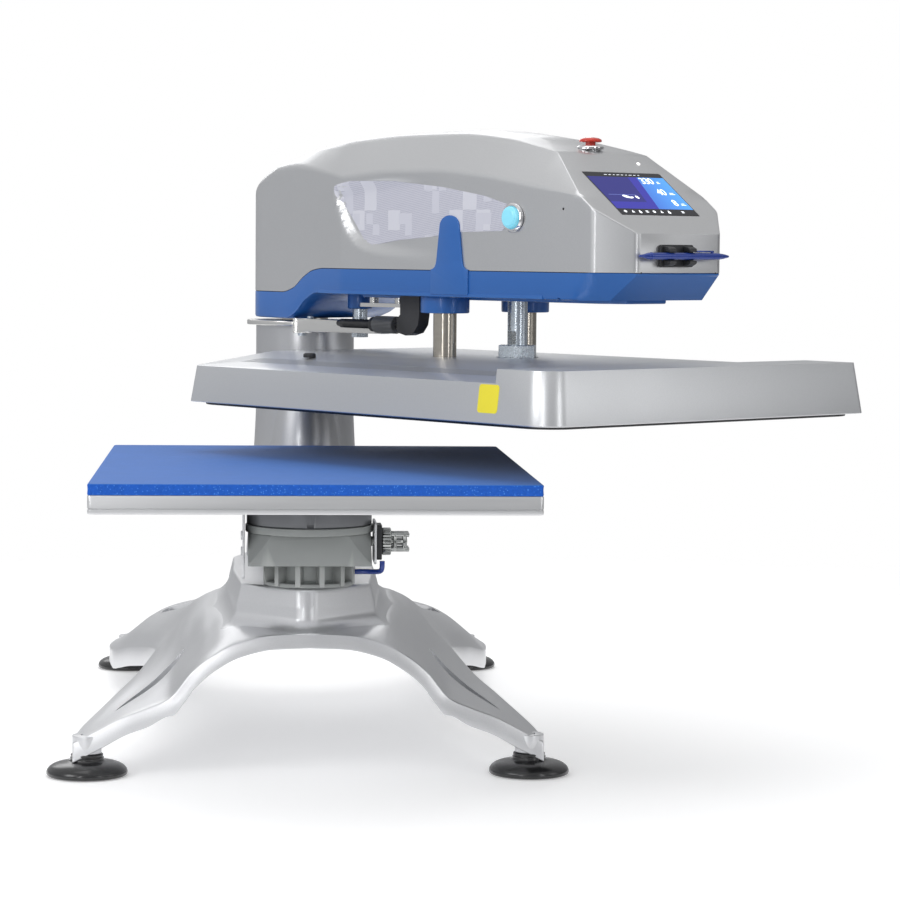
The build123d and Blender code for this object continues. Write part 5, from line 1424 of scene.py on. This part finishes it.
for x, w in ((-20.5, 9.0), (6.8, 9.0)):
    for s in (-1, 1):
        sec = [(0, 4.0), (3.2, 4.0), (9.8, 4.05), (11.2, 4.4), (11.6, 5.4), (10.8, 7.2), (7.5, 8.8), (0, 9.4)]
        to = axes(head((566.2 + 1.2, x - w / 2, 514.5))[0], EU, UP * s, EV)
        hold.append(prism("jaw", [(a, b) for a, b in sec], 0, w, "head", MAT["black"], to, 0.5, 2))
holder = join(hold, "stylus_clip")
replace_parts(holder, "stylus_holder")

# ---------------------------------------------------------------------------
# Halftone film on the side walls, and the plain yellow tag on the cover
# ---------------------------------------------------------------------------
STICK = [(144.3, 582.8), (180.3, 587.9), (248.4, 587.1), (326.3, 580.3), (386.7, 571.5), (424.1, 562.1), (415.9, 537.2), (353.5, 536.1), (305.8, 531.1), (255.2, 527.9), (211.4, 522.7), (197, 527.7), (180.7, 546), (164.4, 562.5)]


def film(name, poly, s, lift, mat):
    p = fillet2([np.array(q) for q in poly][::-1], 5.0, 3)
    bm = bmesh.new()
    bm.faces.new([bm.verts.new((u, z, 0)) for u, z in p])
    for u in np.arange(146, 426, 4.0):
        bmesh.ops.bisect_plane(bm, geom=bm.verts[:] + bm.edges[:] + bm.faces[:], plane_co=(u, 0, 0), plane_no=(1, 0, 0))
    for z in np.arange(520, 590, 4.0):
        bmesh.ops.bisect_plane(bm, geom=bm.verts[:] + bm.edges[:] + bm.faces[:], plane_co=(0, z, 0), plane_no=(0, 1, 0))
    bmesh.ops.triangulate(bm, faces=[f for f in bm.faces if len(f.verts) > 4])
    bm.verts.ensure_lookup_table()
    for i, v in enumerate(bm.verts):
        v.index = i
    co = np.array([v.co for v in bm.verts])
    faces = [[v.index for v in f.verts] for f in bm.faces]
    border = [(e.verts[0].index, e.verts[1].index) for e in bm.edges if len(e.link_faces) == 1]
    bm.free()
    out = []
    for off in (lift, lift - 0.6):
        for u, z, _ in co:
            out.append((u, s * (half_width(u) - scoop_depth(u, z) + off), z))
    n = len(co)
    F = faces + [[n + i for i in f[::-1]] for f in faces] + [(b, a, n + a, n + b) for a, b in border]
    uv = np.concatenate((co[:, :2] / 10, co[:, :2] / 10))
    return build(name, head(out), F, "head", mat, merge=1e-4, sharp=40, uv=uv)


for s, tag in ((-1, "near"), (1, "far")):
    film("side_film_" + tag, STICK, s, 0.34, MAT["sticker"])


def cover_tag():
    """Plain yellow tag on the drafted near wall."""
    q = rrect(27, 26, 3.2, 5, 533.5, 384)
    loops = []
    for t in (-0.3, 0.22):
        row = []
        for u, z in q:
            v = -(215.1 - 6.5 * (z - COVER_Z) / (DECK_Z - COVER_Z)) - t
            row.append((u, v, z))
        loops.append(np.array(row))
    return rings("cover_tag", loops, "press", MAT["yellow"], head)


cover_tag()

# ---------------------------------------------------------------------------
# Start of the carried-over CAD nodes: welded, lightly bevelled, better finish
# ---------------------------------------------------------------------------
KEEP = {
    "column_bearings": ("brass", 0.3), "display_board": ("board", 0.2), "head_spindle": ("steel", 0.5), "head_beam": ("cast", 0.6), "guide_bushings": ("brass", 0.4),
    "air_cylinder": ("alu", 0.6), "power_supply": ("alu", 0.4), "solenoid_valve": ("black", 0.4), "control_board": ("board", 0.2), "power_inlet": ("black", 0.5), "air_inlet": ("brass", 0.4),
    "stop_arm": ("brushed", 0.7), "stop_screws": ("zinc", 0.5), "pivot_plate": ("brushed", 0.5), "damper_bracket": ("black", 1.0),
    "heating_element": ("element", 0.4), "platen_carrier": ("alu", 0.5), "press_rod": ("zinc", 0.7), "piston": ("alu", 0.5), "guide_posts": ("post", 0.8), "thermostat": ("black", 0.4),
    "rod_nut": ("zinc", 0.9),
}
for node, (mat, w) in KEEP.items():
    ob = NODES[node]
    ob.data.materials.clear()
    ob.data.materials.append(MAT[mat])
    ob.data.polygons.foreach_set("material_index", [0] * len(ob.data.polygons))
    m = ob.modifiers.new("weld", "WELD")
    m.merge_threshold = 5e-6
    m = ob.modifiers.new("bevel", "BEVEL")
    m.width, m.segments, m.limit_method, m.angle_limit = w * 0.001, 2, "ANGLE", radians(38)
    m.use_clamp_overlap = True
    m = ob.modifiers.new("normals", "WEIGHTED_NORMAL")
    m.keep_sharp = False

# brake: threaded barrel with bright tip, knurled sleeve
DV, DZ = -52.0, 441.0
dm = axes(head((0, DV, DZ))[0], EV, UP, EU)
thr = []
for i in range(34):
    z = 133 + i * 1.35
    thr += [(4.75, z), (4.15, z + 0.67)]
barrel = lathe("barrel", [(0, 126.2), (4.3, 126.2), (4.7, 127), (4.7, 132)] + thr + [(4.7, 179), (0, 179)], "head", MAT["black"], dm, 40, sharp=50)
collar = lathe("collar", rp([(0, 177.8), (7.6, 177.8), (7.6, 184.0), (0, 184.0)], 0.6), "head", MAT["black"], dm, 64)
ringw = lathe("ringw", rp([(0, 182.6), (7.9, 182.6), (7.9, 184.1), (0, 184.1)], 0.3), "head", MAT["chrome"], dm, 64)
tip = lathe("tip", rp([(0, 119.6), (2.2, 120.2), (3.3, 122.0), (3.3, 126.4), (0, 126.4)], 0.5), "head", MAT["chrome"], dm, 40)
stem = lathe("stem", rp([(0, 184), (3.0, 184), (3.0, 232), (0, 232)], 0.3), "head", MAT["steel"], dm, 32)
damper = join([barrel, collar, ringw, tip, stem], "damper_barrel")
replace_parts(damper, "damper_body")
gz = [gear(8.3, 8.95, 40) for _ in range(2)]
grip = []
zs = [184.5, 185.1, 200.0, 201.0, 215.7, 216.3]
ro = np.array(gear(8.3, 8.95, 40))
loops = []
for z, f in zip(zs, (0.90, 1.0, 1.0, 1.0, 1.0, 0.92)):
    loops.append(np.column_stack((ro * f, np.full(len(ro), z))))
ri = ro / np.linalg.norm(ro, axis=1, keepdims=True) * 3.08
for z in (216.3, 184.5):
    loops.append(np.column_stack((ri, np.full(len(ri), z))))
n = len(ro)
F = []
for k in range(len(loops)):
    a, b = k * n, ((k + 1) % len(loops)) * n
    for i in range(n):
        j = (i + 1) % n
        F.append((a + i, a + j, b + j, b + i))
slv = build("damper_grip", dm(np.concatenate(loops)), F, "damper_sleeve", MAT["ring"], sharp=25)
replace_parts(slv, "damper_sleeve")

# ---------------------------------------------------------------------------
# Stage, light and camera
# ---------------------------------------------------------------------------
def floor():
    m = bpy.data.materials.new("studio_floor")
    m.use_nodes = True
    nt = m.node_tree
    nt.nodes.clear()
    N, L = nt.nodes.new, nt.links.new
    out, mixs, tr, df = N("ShaderNodeOutputMaterial"), N("ShaderNodeMixShader"), N("ShaderNodeBsdfTransparent"), N("ShaderNodeBsdfPrincipled")
    df.inputs["Base Color"].default_value = (0.93, 0.93, 0.935, 1)
    df.inputs["Emission Color"].default_value = (1, 1, 1, 1)
    df.inputs["Emission Strength"].default_value = 0.30
    df.inputs["Roughness"].default_value = 0.55
    df.inputs["Specular IOR Level"].default_value = 0.25
    tc, ln, rg = N("ShaderNodeTexCoord"), N("ShaderNodeVectorMath"), N("ShaderNodeMapRange")
    ln.operation = "LENGTH"
    L(tc.outputs["Object"], ln.inputs[0])
    L(ln.outputs["Value"], rg.inputs[0])
    rg.interpolation_type = "SMOOTHSTEP"
    rg.inputs["From Min"].default_value, rg.inputs["From Max"].default_value = 0.75, 1.9
    L(rg.outputs[0], mixs.inputs[0])
    L(df.outputs[0], mixs.inputs[1])
    L(tr.outputs[0], mixs.inputs[2])
    L(mixs.outputs[0], out.inputs[0])
    n = 96
    V = [(0, 0, 0)] + [(6 * cos(2 * pi * i / n), 6 * sin(2 * pi * i / n), 0) for i in range(n)]
    me = bpy.data.meshes.new("studio_floor")
    me.from_pydata(V, [], [(0, 1 + i, 1 + (i + 1) % n) for i in range(n)])
    me.materials.append(m)
    ob = bpy.data.objects.new("studio_floor", me)
    SC.collection.objects.link(ob)
    ob.location = (0, 0, -0.0004)


floor()

world = bpy.data.worlds.new("studio")
SC.world = world
world.use_nodes = True
nt = world.node_tree
nt.nodes.clear()
N, L = nt.nodes.new, nt.links.new
wout, mx, cam_bg, amb = N("ShaderNodeOutputWorld"), N("ShaderNodeMixShader"), N("ShaderNodeBackground"), N("ShaderNodeBackground")
cam_bg.inputs[0].default_value, cam_bg.inputs[1].default_value = (1, 1, 1, 1), 1.0
lp, tc, sep = N("ShaderNodeLightPath"), N("ShaderNodeTexCoord"), N("ShaderNodeSeparateXYZ")
L(tc.outputs["Generated"], sep.inputs[0])
up = mth(nt, "SMOOTH_MAX", sep.outputs[2], 0.0, 0.1)
level = mth(nt, "MULTIPLY_ADD", up, 0.36, 0.36)
side = mth(nt, "MULTIPLY_ADD", sep.outputs[0], -0.17, 0.0)
level = mth(nt, "ADD", level, side)
level = mth(nt, "MAXIMUM", level, 0.12)
tint = blendc(nt, mth(nt, "MULTIPLY_ADD", sep.outputs[2], 0.5, 0.5), (0.92, 0.95, 1.0), (1.0, 1.0, 1.0))
L(tint, amb.inputs[0])
L(level, amb.inputs[1])
L(lp.outputs["Is Camera Ray"], mx.inputs[0])
L(amb.outputs[0], mx.inputs[1])
L(cam_bg.outputs[0], mx.inputs[2])
L(mx.outputs[0], wout.inputs[0])


def softbox(name, at, aim, w, h, power, col=(1, 1, 1)):
    d = bpy.data.lights.new(name, "AREA")
    d.shape, d.size, d.size_y, d.energy, d.color = "RECTANGLE", w, h, power, col
    o = bpy.data.objects.new(name, d)
    SC.collection.objects.link(o)
    o.location = at
    o.rotation_euler = (Vector(aim) - Vector(at)).to_track_quat("-Z", "Y").to_euler()
    return o


softbox("key_left", (-2.6, -2.0, 1.9), (0, 0, 0.35), 1.5, 1.5, 27)
softbox("top", (0.2, -0.2, 3.0), (0, 0, 0.3), 2.4, 2.4, 19)
softbox("strip_left", (-1.15, -2.7, 0.95), (0, 0, 0.35), 0.20, 1.7, 7.5)
softbox("strip_right", (1.62, -2.5, 0.95), (0, 0, 0.35), 0.20, 1.7, 7)
softbox("fill_right", (3.0, -1.2, 1.2), (0, 0, 0.4), 1.2, 1.6, 7)
softbox("rim_back", (-0.6, 3.0, 1.8), (0, 0, 0.45), 2.4, 1.2, 14)

cam = bpy.data.cameras.new("camera")
cam.sensor_width, cam.lens = 36.0, 116.034
cam.clip_start, cam.clip_end = 0.05, 60
co = bpy.data.objects.new("camera", cam)
SC.collection.objects.link(co)
yaw, pit, rol = 0.0687225, 0.0695341, 0.0086245
r_ = np.array((cos(yaw), -sin(yaw), 0.0))
f_ = np.array((sin(yaw), cos(yaw), 0.0))
f2 = f_ * cos(pit) - UP * sin(pit)
u2 = UP * cos(pit) + f_ * sin(pit)
rx = r_ * cos(rol) + u2 * sin(rol)
uy = u2 * cos(rol) - r_ * sin(rol)
M = Matrix(((rx[0], uy[0], -f2[0], -0.200515), (rx[1], uy[1], -f2[1], -3.093322), (rx[2], uy[2], -f2[2], 0.52040), (0, 0, 0, 1)))
co.matrix_world = M
SC.camera = co
SC.view_settings.view_transform = "Standard"
SC.view_settings.look = "None"
